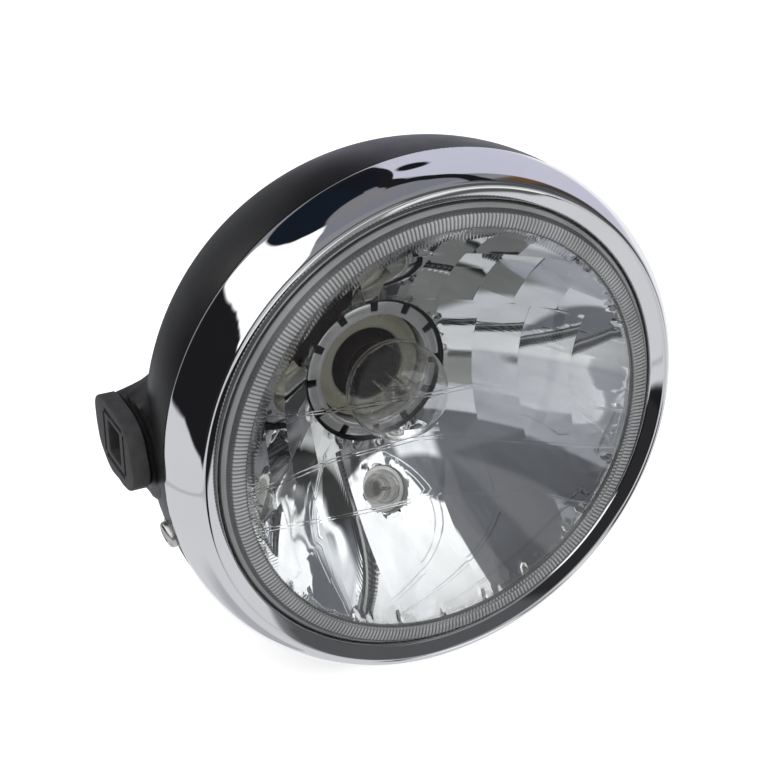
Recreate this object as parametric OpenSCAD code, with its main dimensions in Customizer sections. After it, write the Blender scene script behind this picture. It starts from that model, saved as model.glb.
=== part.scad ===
// Round motorcycle headlamp: black bucket, chromed rim, clear lens, stepped reflector, twin-filament
// bulb and a small pilot bulb. The lamp looks along -Y, +X is right in the front view and +Z is up.
// The origin is where the axis of the two side bolts crosses the lens axis.
// Depths are measured along the lens axis, from the lip that frames the lens towards the back.

/* [Rim] */
// Outer radius of the chromed rim at its rear edge
rim_r = 90; // [80:0.5:100]
// How far the lip that frames the lens lies inside the rear edge
lip_inset = 12.2; // [11.8:0.1:12.8]
// How far the middle of the rim's round side lies inside the rear edge
crest_inset = 8.5; // [8:0.1:9]
// How far that side would reach in front of the lip, if its crest weren't rolled in
rim_crest = 3; // [2:0.5:5]
// Slope of the land between the crest and the lip
land_tilt = 23; // [18:0.5:28]
// Depth of the rim's rear edge
rim_depth = 14; // [13:0.5:18]
// Thickness of the rim's steel
rim_wall = 1; // [0.6:0.1:1.4]
// Length of the lip that is turned back
lip_turn = 2; // [1.5:0.1:3]

/* [Shell] */
// How far the shell's widest line lies inside the rear edge of the rim
shell_step = 0.2; // [0.1:0.1:0.8]
// Free room behind the terminals of the main bulb's holder
back_room = 5.5; // [4:0.5:14]
// How far the flat at the very back lies in front of where the dome would close
back_cut = 4; // [3:0.5:6]
// Wall of the shell
shell_wall = 2.5; // [1.5:0.1:3]
// Length of the narrower neck of the shell inside the rim
spigot_length = 7.1; // [5:0.1:7.5]
// Wall of that neck
spigot_wall = 2; // [1.5:0.1:2.4]

/* [Side mounts] */
// Depth of the bolt axis behind the lip
bolt_depth = 41; // [38:0.5:46]
// How far a pad's face stands out from the widest line of the shell
pad_stand = 6.8; // [6.2:0.2:10]
// Thickness of a pad
pad_thickness = 5.8; // [4:0.2:8]
// Length of a pad along the lamp
pad_length = 36.5; // [32:0.5:42]
// Height of a pad
pad_height = 24; // [22:0.5:30]
// Side of the square hole in a pad
socket_side = 11.5; // [10:0.1:12.2]
// Side of the square nut
nut_side = 13; // [12.5:0.1:13.5]
// Thickness of the square nut
nut_thickness = 6.5; // [5:0.1:8]
// Bore of the nut, at the crests of its thread
nut_bore = 6.8; // [6.4:0.1:7.2]

/* [Optics] */
// Land between the mouth of the reflector and the groove for the lens
mouth_land = 3.93; // [3:0.01:5]
// Focal length of the reflector
focal = 22; // [21:0.1:23]
// Thickness of the reflector along its axis
reflector_wall = 3.5; // [3:0.1:5]
// Depth of the step between neighbouring reflector fields
field_step = 0.6; // [0.3:0.1:1]
// How far the flange round the reflector reaches outside the lip
flange_reach = 4.2; // [3.9:0.1:4.3]
// Depth of the flange's rear face
flange_depth = 9; // [8.6:0.1:9.2]
// Radius of the bore for the bulb
bulb_bore_r = 21.3; // [20.5:0.1:22]
// Height of the lens dome in front of its bead
lens_dome = 7.5; // [4:0.5:10]
// Thickness of the lens glass
lens_wall = 3; // [2:0.1:3.4]
// How far the bead of the lens lies inside the lip
bead_inset = 3.2; // [2.8:0.1:3.6]
// Width of that bead
bead_width = 4.6; // [3:0.1:6]
// How far the bead stands in front of the lip
bead_height = 2.8; // [2:0.1:4]

/* [Bulb] */
// Radius of the bulb's globe
globe_r = 17.2; // [15:0.1:17.6]
// How far the globe's middle lies in front of the focus
globe_lead = 2.1; // [1:0.1:3]
// Radius of the glass neck
bulb_neck_r = 9.2; // [8.5:0.1:9.4]
// Radius of the metal cap
cap_r = 10; // [9.9:0.1:10.4]
// Length of the metal cap
cap_length = 18.5; // [17.5:0.5:20]

/* [Pilot bulb] */
// Offset of the pilot bulb to the side of the lens axis
pilot_x = -2; // [-6:0.5:6]
// Height of the pilot bulb
pilot_z = -40.5; // [-44:0.5:-38]
// Tilt of the pilot bulb's axis
pilot_tilt = 28; // [20:1:32]
// Radius of the hole for the pilot bulb
pilot_bore_r = 8.3; // [7.5:0.1:9]
// Radius of the pilot bulb's glass
pilot_glass_r = 5.2; // [4.5:0.1:5.5]

/* [Rim screws] */
// Angle of the rim screws below the horizontal
screw_angle = 16.6; // [14:0.2:30]
// How far the rim screws lie behind the rear edge of the rim
screw_setback = 8; // [7.5:0.5:9]
// Diameter of a rim screw
screw_d = 5; // [4:0.5:5]
// Diameter of a screw head
screw_head_d = 9; // [8:0.5:10]

/* [Wiring port] */
// How far the wiring port's centre lies above the lowest line of the shell
port_rise = 41.8; // [38:0.2:44]
// Radius of the hole in the shell
port_r = 15.5; // [13:0.5:17]
// How far the port's rear face stands behind the flat of the shell
port_stand = 1; // [0.5:0.5:4]
// Radius of the opening in the grommet
grommet_bore_r = 9; // [7:0.5:10]

/* [Hidden] */

$fn = 96;
// Gap left at faces that rest against each other
seat_gap = 0.25;
// Length by which a cut runs past the face that it opens
over = 1;

rim_lip_r = rim_r - lip_inset;
rim_crest_r = rim_r - crest_inset;
shell_r = rim_r - shell_step;
screw_depth = rim_depth + screw_setback;
flange_r = rim_lip_r + flange_reach;
bead_r = rim_lip_r - bead_inset;

// Where the rim's side goes over into its rolled crest, and the middles of the crest's and lip's rolls
crest_tilt = 35;
crest_roll = rim_wall + 1.5;
lip_roll = rim_wall + 0.1;
roll_start = atan((rim_depth + rim_crest) / (crest_inset * tan(crest_tilt)));
crest_middle = [
    rim_crest_r + crest_inset * cos(roll_start) - crest_roll * sin(crest_tilt),
    rim_depth - (rim_depth + rim_crest) * sin(roll_start) + crest_roll * cos(crest_tilt)
];
lip_middle = [
    rim_lip_r + lip_roll,
    crest_middle[1] + (crest_middle[0] - rim_lip_r - lip_roll) * tan(land_tilt)
        - (crest_roll - lip_roll) / cos(land_tilt)
];

// Flange that the rim's turned lip bears on, mouth of the reflector and depth of its vertex
flange_front = lip_turn + seat_gap;
mouth_r = bead_r - mouth_land;
vertex_depth = flange_front + mouth_r * mouth_r / (4 * focal);

// Depths along the main bulb, its holder and the blades at its end
filament_depth = vertex_depth - focal;
globe_depth = filament_depth - globe_lead;
glass_end = vertex_depth - 2.5;
cap_front = glass_end - 3;
cap_end = cap_front + cap_length;
blade_front = cap_end + 1.6;
blade_length = 12.4;
terminal_end = blade_front + blade_length;

// Radius of the rim's inner face at a depth
function rim_inner_r(depth) =
    let (rise = (rim_depth - depth) / (rim_depth + rim_crest - rim_wall))
    rim_crest_r + (rim_r - rim_wall - rim_crest_r) * sqrt(1 - rise * rise);

// The shell's widest line, and where its full-width part begins
shell_mid = rim_depth + 5;
shell_front = rim_depth + 0.6;
shell_back = terminal_end + back_room + shell_wall;
shell_dome = shell_back + back_cut - shell_mid;
port_depth = shell_back + port_stand;
port_z = port_rise - shell_r;
spigot_front = shell_front - spigot_length;
spigot_r = rim_inner_r(spigot_front) - 0.4;
spigot_inner_r = spigot_r - spigot_wall;
spigot_back = shell_front + 1.8;

function dome_depth(radius, wall) =
    shell_mid + (shell_dome - wall) * sqrt(1 - pow(radius / (shell_r - wall), 2));
function dome_r(depth, wall) =
    (shell_r - wall) * sqrt(1 - pow((depth - shell_mid) / (shell_dome - wall), 2));
function dome_curve(from, to, wall, steps) =
    let (a = asin((from - shell_mid) / (shell_dome - wall)),
         b = asin((to - shell_mid) / (shell_dome - wall)))
    [for (i = [0:steps])
        let (t = a + (b - a) * i / steps)
        [(shell_r - wall) * cos(t), shell_mid + (shell_dome - wall) * sin(t)]];

// Depth and radius of a paraboloid whose vertex lies back by shift from the reflector's own
function bowl_depth(radius, shift) = vertex_depth + shift - radius * radius / (4 * focal);
function bowl_r(depth, shift) = 2 * sqrt(focal * (vertex_depth + shift - depth));
function bowl_curve(from_r, to_r, shift, steps) =
    [for (i = [0:steps])
        let (r = from_r + (to_r - from_r) * i / steps)
        [r, bowl_depth(r, shift)]];

// Groove that holds the edge of the lens
groove_r = bead_r;
groove_outer_r = rim_lip_r + 0.1;
groove_depth = flange_depth - 1.5;
lens_edge_r = rim_lip_r - 0.4;
lens_edge_inner_r = groove_r + 0.4;
lens_edge_depth = groove_depth - 1;
// Edges of the reflector's fields: rows by height, each with its column width and one column's edge
rows = [
    [-80, -43.5, 16, 1], [-43.5, -26, 16, 1], [-26, 24.5, 12, -1.6], [24.5, 48, 10.4, 0.2],
    [48, 80, 12.5, -2.5]
];
// Half the land left between two deeper fields
field_inset = 0.15;
// Recess and neck round the bulb
ring_seat_r = bulb_bore_r + 4.1;
ring_seat_depth = bowl_depth(ring_seat_r, 0) + 1.35;
neck_r = bulb_bore_r + 5.2;
neck_end = vertex_depth + 2;
ring_wall = 0.8;
// Front of the bulb flange's outer plate and of its cup
flange_plate = neck_end + 0.4 + ring_wall;
cup_front = neck_end - 3.8;

// Tabs and screws that hold the optical unit in the rim
tab_count = 4;
tab_first = 45;
tab_screw_r = flange_r + 0.3;
tab_screw_d = 4;
tab_wall = 1.5;
tab_width = 12;
tab_hole_length = 20;
ring_thickness = 1.2;
ring_front = flange_depth + seat_gap;

// Strips that carry the rim on the shell
strip_wall = 1.5;
strip_r = flange_r + 1.4;
strip_width = 14;
strip_inner_r = strip_r - seat_gap;
strip_end = screw_depth + 6;
foot_depth = rim_depth - 9;
screw_flat_r = shell_r - 0.8;
washer_thickness = 0.8;
head_height = 2.6;
head_edge = head_height * 0.55;
screw_slack = 0.6;
strip_nut_thickness = 4;
strip_nut_side = 8;

// Side bosses
pad_face = shell_r + pad_stand;
boss_face = pad_face - pad_thickness - seat_gap;
boss_root = shell_r - 16.25;
// How much a boss is wider than its pad at the root, and narrower at the pad
boss_flare = 3;
boss_inset = 0.6;
nut_pocket = nut_side + 0.3;
nut_outer = shell_r - 10.25;
nut_inner = nut_outer - nut_thickness;
nut_block = nut_pocket + 4.5;
nut_block_end = boss_root + 10;

// Drain at the lowest line of the shell
drain_depth = shell_mid + 43;
drain_d = 4;

// Wiring port
port_wall = 4;
collar_length = 26;
port_bore_length = 36;
// Bead on the grommet and the groove in the collar that it snaps into
bead_back = port_depth - 3.6;
bead_length = 2.3;
bead_rise = 1.2;
bead_slack = 0.2;
grommet_lip = 2.5;
grommet_length = 9;

// Frame of the pilot bulb: its own axis points to the back
pilot_depth = bowl_depth(norm([pilot_x, pilot_z]), 0);
pilot_tube_end = 9;
pilot_tube_wall = 2.3;

// Bulb: round globe, hollow fillet and straight neck
fillet_r = 6;
fillet_depth = globe_depth
    + sqrt(pow(globe_r + fillet_r, 2) - pow(bulb_neck_r + fillet_r, 2));
glass_wall = 0.9;
cap_wall = 0.3;
filament_half = 3.6;
filament_d = 1.1;
// Height of the dipped filament over the main one, and its distance in front of it
dip_rise = 1.6;
dip_depth = filament_depth - 4.4;
// Middle, radius and floor of the screen under the dipped filament
shield_x = -1.8;
shield_r = 3.7;
shield_z = -1.4;
// Wires that carry them and the glass foot that holds the wires
lead_d = 0.9;
lead_x = 4.1;
dip_lead_x = 0.9;
stem_front = glass_end - 2;
pinch_front = filament_depth + 9;
pinch_half = 5;
pinch_thickness = 4.2;
// Bayonet pins of the cap and its two contacts
pin_depth = cap_end - 3;
pin_d = 2;
pin_rise = 1.1;
contact_x = 4;
contact_recess = 0.6;
// Holder over the cap, and its three blades
socket_front = cap_end - 5.4;
socket_r = 12.5;
socket_end = cap_end + 7;
blade_thickness = 0.8;
blade_width = 6.3;

black = [0.06, 0.06, 0.065];
zinc = [0.72, 0.72, 0.7];
chrome = [0.8, 0.81, 0.84];
clear = [0.85, 0.9, 0.92, 0.35];
brass = [0.72, 0.58, 0.3];
pale = [0.7, 0.7, 0.64];
rubber = [0.09, 0.09, 0.09];

// A profile of radius and depth turned round the lens axis
module turned() {
    translate([0, -bolt_depth, 0])
        rotate([-90, 0, 0])
            rotate_extrude() children();
}

// A sector of such a turned form, width wide at its middle radius and centred at an angle above +X
module sector(angle, width, radius) {
    half = asin(width / 2 / radius);
    translate([0, -bolt_depth, 0])
        rotate([-90, 0, 0])
            rotate([0, 0, -angle - half])
                rotate_extrude(angle = 2 * half) children();
}

// Places what points along +Z so that it points straight out from the lens axis
module outward(angle, depth) {
    translate([0, depth - bolt_depth, 0])
        rotate([0, 90 - angle, 0])
            children();
}

// Places what points along +Z so that it points along the pilot bulb's axis to the back
module along_pilot() {
    translate([pilot_x, pilot_depth - bolt_depth, pilot_z])
        rotate([-90 - pilot_tilt, 0, 0])
            children();
}

// Places what points along +Z so that it points out of one side of the lamp, with X to the back
module out_of_side(side) {
    scale([side, 1, 1])
        rotate([90, 0, 90])
            children();
}

// Rounded outline of a pad, with X along the lamp's length before out_of_side turns it
module pad_outline(grow) {
    half_length = pad_length / 2 + grow;
    half_height = pad_height / 2 + grow;
    tight = 6;
    easy = 11;
    hull() {
        for (end = [-1, 1]) {
            translate([end * (half_length - tight), end * (half_height - tight)])
                circle(tight, $fn = 32);
            translate([end * (half_length - easy), -end * (half_height - easy)])
                circle(easy, $fn = 32);
        }
    }
}

// Angle of a rim screw above +X, for the right or the left side
function screw_at(side) = side > 0 ? -screw_angle : 180 + screw_angle;

// The shell filled in: neck, dome, side bosses and the collar of the wiring port
module shell_outside() {
    turned()
        polygon(concat(
            [[0, spigot_front], [spigot_r, spigot_front], [spigot_r, shell_front]],
            dome_curve(shell_front, shell_back, 0, 24),
            [[0, shell_back]]));
    for (side = [-1, 1])
        hull() {
            out_of_side(side)
                translate([0, 0, boss_root])
                    linear_extrude(over) pad_outline(boss_flare);
            out_of_side(side)
                translate([0, 0, boss_face - over])
                    linear_extrude(over) pad_outline(-boss_inset);
        }
    translate([0, port_depth - collar_length - bolt_depth, port_z])
        rotate([-90, 0, 0])
            cylinder(collar_length, r = port_r + port_wall);
}

module shell_hollow() {
    turned()
        polygon(concat(
            [[0, spigot_front - over], [spigot_inner_r, spigot_front - over],
             [spigot_inner_r, spigot_back]],
            dome_curve(spigot_back, shell_back - shell_wall, shell_wall, 24),
            [[0, shell_back - shell_wall]]));
}

// Block inside the shell that holds a nut, cut later by the pocket
module nut_block(side) {
    out_of_side(side)
        translate([-nut_block / 2, -nut_block / 2, nut_inner])
            cube([nut_block, nut_block, nut_block_end - nut_inner]);
}

// Bucket with its side bosses, drain and wiring port
module shell() {
    color(black)
    difference() {
        union() {
            difference() {
                shell_outside();
                shell_hollow();
            }
            for (side = [-1, 1]) nut_block(side);
        }
        for (side = [-1, 1]) {
            out_of_side(side) {
                translate([-socket_side / 2, -socket_side / 2, nut_inner])
                    cube([socket_side, socket_side, pad_face]);
                translate([-nut_pocket / 2, -nut_pocket / 2, nut_inner - over])
                    cube([nut_pocket, nut_pocket, nut_thickness + over + seat_gap]);
            }
            outward(screw_at(side), screw_depth) {
                cylinder(shell_r + over, d = screw_d + screw_slack);
                translate([0, 0, screw_flat_r])
                    cylinder(shell_r, d = screw_head_d + 2);
            }
        }
        translate([0, port_depth + over - bolt_depth, port_z])
            rotate([90, 0, 0])
                cylinder(port_bore_length, r = port_r);
        translate([0, bead_back - bead_length - bead_slack - bolt_depth, port_z])
            rotate([-90, 0, 0])
                cylinder(bead_length + 2 * bead_slack, r = port_r + bead_rise);
        translate([0, drain_depth - bolt_depth, -shell_r])
            cylinder(shell_r / 2, d = drain_d);
    }
}

// Outer line of the rim, moved in by inset: a quarter of an ellipse from the rear edge, the rolled
// crest, a straight land that slopes back towards the lens, and the turned lip
function rolled(middle, radius, from, to, steps) =
    [for (i = [0:steps])
        let (tilt = from + (to - from) * i / steps)
        [middle[0] + radius * sin(tilt), middle[1] - radius * cos(tilt)]];
function rim_line(inset) = concat(
    [for (i = [0:12])
        let (a = roll_start * i / 12)
        [rim_crest_r + (rim_r - inset - rim_crest_r) * cos(a),
         rim_depth - (rim_depth + rim_crest - inset) * sin(a)]],
    rolled(crest_middle, crest_roll - inset, crest_tilt, -land_tilt, 6),
    rolled(lip_middle, lip_roll - inset, -land_tilt, -90, 4),
    [[rim_lip_r + inset, lip_turn]]);
function reversed(list) = [for (i = [len(list) - 1:-1:0]) list[i]];

// Chromed steel rim, pressed from one sheet
module rim() {
    color(chrome)
        turned()
            polygon(concat(rim_line(0), reversed(rim_line(rim_wall))));
}

// Z-shaped steel strip welded inside the rim that reaches back into the shell
module rim_strip(side) {
    color(zinc)
    difference() {
        sector(screw_at(side), strip_width, strip_r)
            polygon([
                [strip_r, foot_depth], [rim_inner_r(foot_depth) - seat_gap, foot_depth],
                [rim_inner_r(foot_depth) - seat_gap, foot_depth + strip_wall],
                [strip_r + strip_wall, foot_depth + strip_wall],
                [strip_r + strip_wall, strip_end], [strip_r, strip_end]]);
        outward(screw_at(side), screw_depth)
            cylinder(rim_r, d = screw_d + screw_slack);
    }
}
module rim_bracket_left() rim_strip(-1);
module rim_bracket_right() rim_strip(1);

// Hook at the top of the rim that catches behind the neck of the shell
module rim_top_hook() {
    hook_depth = spigot_back + 0.4;
    color(zinc)
        sector(90, strip_width, strip_r)
            polygon([
                [strip_r, foot_depth], [rim_inner_r(foot_depth) - seat_gap, foot_depth],
                [rim_inner_r(foot_depth) - seat_gap, foot_depth + strip_wall],
                [strip_r + strip_wall, foot_depth + strip_wall],
                [strip_r + strip_wall, hook_depth], [spigot_inner_r + 1, hook_depth],
                [spigot_inner_r + 1, hook_depth + strip_wall],
                [strip_r, hook_depth + strip_wall]]);
}

// Square nut under a strip, which takes the rim screw
module strip_nut(side) {
    color(zinc)
        outward(screw_at(side), screw_depth)
            translate([0, 0, strip_inner_r - strip_nut_thickness])
                difference() {
                    translate([-strip_nut_side / 2, -strip_nut_side / 2, 0])
                        cube([strip_nut_side, strip_nut_side, strip_nut_thickness]);
                    translate([0, 0, -over])
                        cylinder(strip_nut_thickness + 2 * over, d = screw_d + 0.1);
                }
}
module rim_nut_left() strip_nut(-1);
module rim_nut_right() strip_nut(1);

// Pan-head screw that enters the shell from outside
module rim_screw(side) {
    seat = screw_flat_r + washer_thickness;
    tip = strip_inner_r - strip_nut_thickness - 1.5;
    recess_length = screw_head_d * 0.6;
    recess_width = 1.2;
    recess_floor = seat + head_height - 1.4;
    color(zinc)
        outward(screw_at(side), screw_depth)
            difference() {
                union() {
                    translate([0, 0, tip])
                        cylinder(seat - tip + over, d = screw_d);
                    translate([0, 0, seat])
                        cylinder(head_edge, d = screw_head_d);
                    translate([0, 0, seat + head_edge])
                        cylinder(head_height - head_edge, d1 = screw_head_d, d2 = screw_head_d * 0.68);
                }
                for (turn = [0, 90])
                    rotate([0, 0, turn])
                        translate([-recess_length / 2, -recess_width / 2, recess_floor])
                            cube([recess_length, recess_width, head_height]);
            }
}
module rim_screw_left() rim_screw(-1);
module rim_screw_right() rim_screw(1);

// Washer under a rim screw
module rim_washer(side) {
    color(zinc)
        outward(screw_at(side), screw_depth)
            translate([0, 0, screw_flat_r])
                difference() {
                    cylinder(washer_thickness, d = screw_head_d + 1.4);
                    translate([0, 0, -over])
                        cylinder(washer_thickness + 2 * over, d = screw_d + 0.4);
                }
}
module rim_washer_left() rim_washer(-1);
module rim_washer_right() rim_washer(1);

// Places children at each of the tabs that hold the optical unit
module at_tabs() {
    for (i = [0:tab_count - 1])
        outward(tab_first + 360 / tab_count * i, flange_depth)
            children();
}

// Tabs welded inside the rim, tapped for the ring's screws
module rim_tabs() {
    plate = flange_depth - tab_wall;
    inner = tab_screw_r - 2.6;
    outer = spigot_inner_r - 0.7;
    foot = rim_inner_r(foot_depth) - seat_gap;
    color(zinc)
    difference() {
        for (i = [0:tab_count - 1])
            sector(tab_first + 360 / tab_count * i, tab_width, tab_screw_r)
                polygon([
                    [inner, plate], [outer - tab_wall, plate], [outer - tab_wall, foot_depth],
                    [foot, foot_depth], [foot, foot_depth + tab_wall],
                    [outer, foot_depth + tab_wall], [outer, flange_depth], [inner, flange_depth]]);
        tab_holes(0.1);
    }
}

// Bores for the ring's screws, wider than the screw by slack
module tab_holes(slack) {
    at_tabs()
        translate([0, 0, tab_screw_r])
            rotate([90, 0, 0])
                cylinder(tab_hole_length, d = tab_screw_d + slack, center = true);
}

// Flat steel ring that presses the optical unit against the lip
module unit_ring() {
    inner_r = bowl_r(ring_front, reflector_wall) + 2;
    outer_r = tab_screw_r + 3.3;
    color(black)
    difference() {
        turned()
            translate([inner_r, ring_front])
                square([outer_r - inner_r, ring_thickness]);
        for (angle = [screw_at(-1), screw_at(1), 90])
            sector(angle, strip_width + 1.4, strip_r)
                translate([flange_r + 0.6, ring_front - over])
                    square([10, ring_thickness + 2 * over]);
        tab_holes(0.5);
    }
}

// The ring's four screws
module ring_screws() {
    seat = ring_front - flange_depth + ring_thickness;
    tip = -4;
    color(zinc)
        at_tabs()
            translate([0, 0, tab_screw_r])
                rotate([-90, 0, 0]) {
                    translate([0, 0, seat])
                        cylinder(2.2, d = 6.4);
                    translate([0, 0, tip])
                        cylinder(seat - tip + over, d = tab_screw_d);
                }
}

// Outer face of the lens from its edge over the bead to the middle of the dome, moved in by inset
function lens_line(inset) =
    let (inner_r = bead_r - bead_width,
         rise = lens_dome,
         ball = (inner_r * inner_r + rise * rise) / (2 * rise),
         top = -bead_height - 0.8 - rise,
         span = asin(inner_r / ball))
    [for (i = [0:12])
        let (a = span * (1 - i / 12))
        [(ball - inset) * sin(a), top + ball - (ball - inset) * cos(a)]];

// Pressed glass lens with its bead and the edge that stands in the reflector's groove
module lens() {
    color(clear)
        turned()
            polygon(concat(
                [[lens_edge_inner_r, lens_edge_depth], [lens_edge_r, lens_edge_depth],
                 [lens_edge_r, 0], [bead_r, -bead_height],
                 [bead_r - 0.6, -bead_height - 0.5],
                 [bead_r - bead_width + 0.8, -bead_height - 0.9]],
                lens_line(0),
                reversed(lens_line(lens_wall)),
                [[lens_edge_inner_r - 1.4, 0], [lens_edge_inner_r, 1.4]]));
}

// Bonding bead at the bottom of the groove
module lens_seal() {
    color("dimgray")
        turned()
            translate([groove_r + 0.2, lens_edge_depth + 0.1])
                square([groove_outer_r - groove_r - 0.4, groove_depth - lens_edge_depth - 0.2]);
}

// Everything in front of the reflecting surface, moved back by shift
module bowl_space(shift, inner, outer) {
    turned()
        polygon(concat(
            [[inner, -over], [outer, -over]],
            reversed(bowl_curve(inner, outer, shift, 9))));
}

// Every second field of each row, as tall blocks that cut the deeper steps
module field_blocks() {
    for (k = [0:len(rows) - 1]) {
        low = rows[k][0] + field_inset;
        high = rows[k][1] - field_inset;
        width = rows[k][2];
        left = rows[k][3] + field_inset;
        for (i = [-7:6])
            if ((i + k) % 2 == 0)
                translate([left + i * width, -bolt_depth - over, low])
                    cube([width - 2 * field_inset, vertex_depth, high - low]);
    }
}

// Reflector filled in: flange, body, neck and the tube for the pilot bulb
module reflector_outside() {
    turned()
        polygon(concat(
            [[0, flange_front], [flange_r, flange_front], [flange_r, flange_depth]],
            bowl_curve(bowl_r(flange_depth, reflector_wall), neck_r, reflector_wall, 10),
            [[neck_r, neck_end], [0, neck_end]]));
    along_pilot()
        translate([0, 0, -pilot_tube_wall])
            cylinder(pilot_tube_end + pilot_tube_wall, r = pilot_bore_r + pilot_tube_wall);
}

// Moulded and metallised reflector with stepped fields
module reflector() {
    color([0.86, 0.87, 0.88])
    difference() {
        reflector_outside();
        turned()
            polygon(concat(
                [[0, flange_front - over], [bowl_r(flange_front, 0), flange_front - over]],
                bowl_curve(bowl_r(flange_front, 0), ring_seat_r, 0, 9),
                [[ring_seat_r, ring_seat_depth], [bulb_bore_r, ring_seat_depth],
                 [bulb_bore_r, neck_end + over], [0, neck_end + over]]));
        intersection() {
            bowl_space(field_step, ring_seat_r + 0.6, bowl_r(flange_front, 0) - 0.6);
            field_blocks();
        }
        turned()
            translate([groove_r, flange_front - over])
                square([groove_outer_r - groove_r, groove_depth - flange_front + over]);
        for (i = [0:tab_count - 1])
            sector(tab_first + 360 / tab_count * i, tab_width + 1, tab_screw_r)
                translate([groove_outer_r + 1.6, flange_front - over])
                    square([10, flange_depth]);
        along_pilot()
            translate([0, 0, -12])
                cylinder(12 + pilot_tube_end + over, r = pilot_bore_r);
    }
}

// Ring with a tube through the reflector's neck, its front edge folded out and notched
module bulb_seat_ring() {
    outer_r = bulb_bore_r - 0.2;
    front = ring_seat_depth - seat_gap - ring_wall;
    notches = 12;
    color(chrome)
    difference() {
        turned()
            polygon([
                [outer_r - ring_wall, front], [ring_seat_r - 0.3, front],
                [ring_seat_r - 0.3, front + ring_wall], [outer_r, front + ring_wall],
                [outer_r, neck_end + 0.2], [neck_r - 0.6, neck_end + 0.2],
                [neck_r - 0.6, neck_end + 0.2 + ring_wall],
                [outer_r - ring_wall, neck_end + 0.2 + ring_wall]]);
        for (i = [0:notches - 1])
            outward(360 / notches * i, front)
                translate([-1, -over, bulb_bore_r + 1.1])
                    cube([2, ring_wall + 2 * over, 5]);
    }
}

// Dished flange that is fixed to the cap of the bulb and seats on the ring
module bulb_flange() {
    cup_r = bulb_bore_r - 1.6;
    inner_r = 13.2;
    plate_r = neck_r - 2.4;
    foot = socket_front - 0.6;
    wall = 1;
    color(pale)
        turned()
            polygon([
                [inner_r, cup_front], [cup_r, cup_front], [cup_r, flange_plate],
                [plate_r, flange_plate], [plate_r, flange_plate + wall],
                [cup_r - wall, flange_plate + wall], [cup_r - wall, cup_front + wall],
                [inner_r + wall, cup_front + wall], [inner_r + wall, foot], [cap_r + 0.1, foot],
                [cap_r + 0.1, foot - wall], [inner_r, foot - wall]]);
}

// Brass cap with its two bayonet pins and an insulated end
module bulb_cap() {
    cap_floor = glass_end + 1;
    cap_bore_r = cap_r - cap_wall - 0.1;
    color(brass)
    difference() {
        union() {
            turned()
                polygon([
                    [0, cap_floor], [cap_bore_r, cap_floor], [cap_bore_r, cap_front],
                    [cap_r, cap_front], [cap_r, cap_end - 1], [cap_r - 1, cap_end], [0, cap_end]]);
            for (side = [0, 180])
                outward(90 + side, pin_depth)
                    translate([0, 0, cap_r - over])
                        cylinder(over + pin_rise, d = pin_d);
        }
        for (x = [-contact_x, contact_x])
            translate([x, cap_end - contact_recess - bolt_depth, 0])
                rotate([-90, 0, 0])
                    cylinder(over, r = contact_x / 2);
    }
}

// Half section of the bulb's glass, moved in by inset
function glass_line(inset) =
    let (from = 90 + atan2(fillet_depth - globe_depth, bulb_neck_r + fillet_r),
         globe = globe_r - inset,
         fillet = fillet_r + inset)
    concat(
        [for (i = [0:16])
            let (a = from * i / 16)
            [globe * sin(a), globe_depth - globe * cos(a)]],
        [for (i = [1:6])
            let (a = from - (from - 90) * i / 6)
            [bulb_neck_r + fillet_r - fillet * sin(a), fillet_depth + fillet * cos(a)]],
        [[bulb_neck_r - inset, glass_end]]);

module bulb_glass() {
    color(clear)
        turned()
            polygon(concat(glass_line(0), reversed(glass_line(glass_wall))));
}

// Glass foot of the bulb with the flat pinch that holds the wires
module bulb_stem() {
    color(clear) {
        turned()
            translate([0, stem_front])
                square([bulb_neck_r - glass_wall - 0.2, glass_end - 0.2 - stem_front]);
        translate([-pinch_half, pinch_front - bolt_depth, -pinch_thickness / 2])
            cube([2 * pinch_half, stem_front - pinch_front + 0.5, pinch_thickness]);
    }
}

// Wire of round section from one point of radius, depth and height to another
module wire(from, to, thickness) {
    step = to - from;
    length = norm(step);
    translate([from[0], from[1] - bolt_depth, from[2]])
        rotate([0, acos(step[2] / length), atan2(step[1], step[0])])
            cylinder(length, d = thickness, $fn = 24);
}

// Support wires that stand out of the pinch
module bulb_leads() {
    start = pinch_front - 0.1;
    shield_lead_z = shield_z + 0.3;
    color("silver") {
        for (x = [-lead_x, lead_x])
            wire([x, start, 0], [x, filament_depth - 0.6, 0], lead_d);
        wire([dip_lead_x, start, dip_rise], [dip_lead_x, dip_depth - 0.6, dip_rise], lead_d);
        wire([shield_x, start, shield_lead_z],
             [shield_x, dip_depth + shield_r + 0.1, shield_lead_z], lead_d);
    }
}

// The two coiled filaments, across the lamp
module bulb_filaments() {
    color("gray") {
        wire([-filament_half, filament_depth, 0], [filament_half, filament_depth, 0], filament_d);
        wire([-lead_x, dip_depth, dip_rise], [dip_lead_x - 0.55, dip_depth, dip_rise], filament_d);
    }
}

// Dished screen under the dipped filament, with the ear that carries the filament's far end
module filament_shield() {
    wall = 0.5;
    height = 2;
    ear_width = 2;
    color("lightgray")
        translate([shield_x, dip_depth - bolt_depth, shield_z]) {
            difference() {
                cylinder(height, r = shield_r);
                translate([0, 0, wall])
                    cylinder(height, r = shield_r - wall);
            }
            translate([-shield_r + 0.1, -ear_width / 2, wall])
                cube([1.4, ear_width, dip_rise - shield_z - filament_d / 2 - wall - 0.05]);
        }
}

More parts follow.
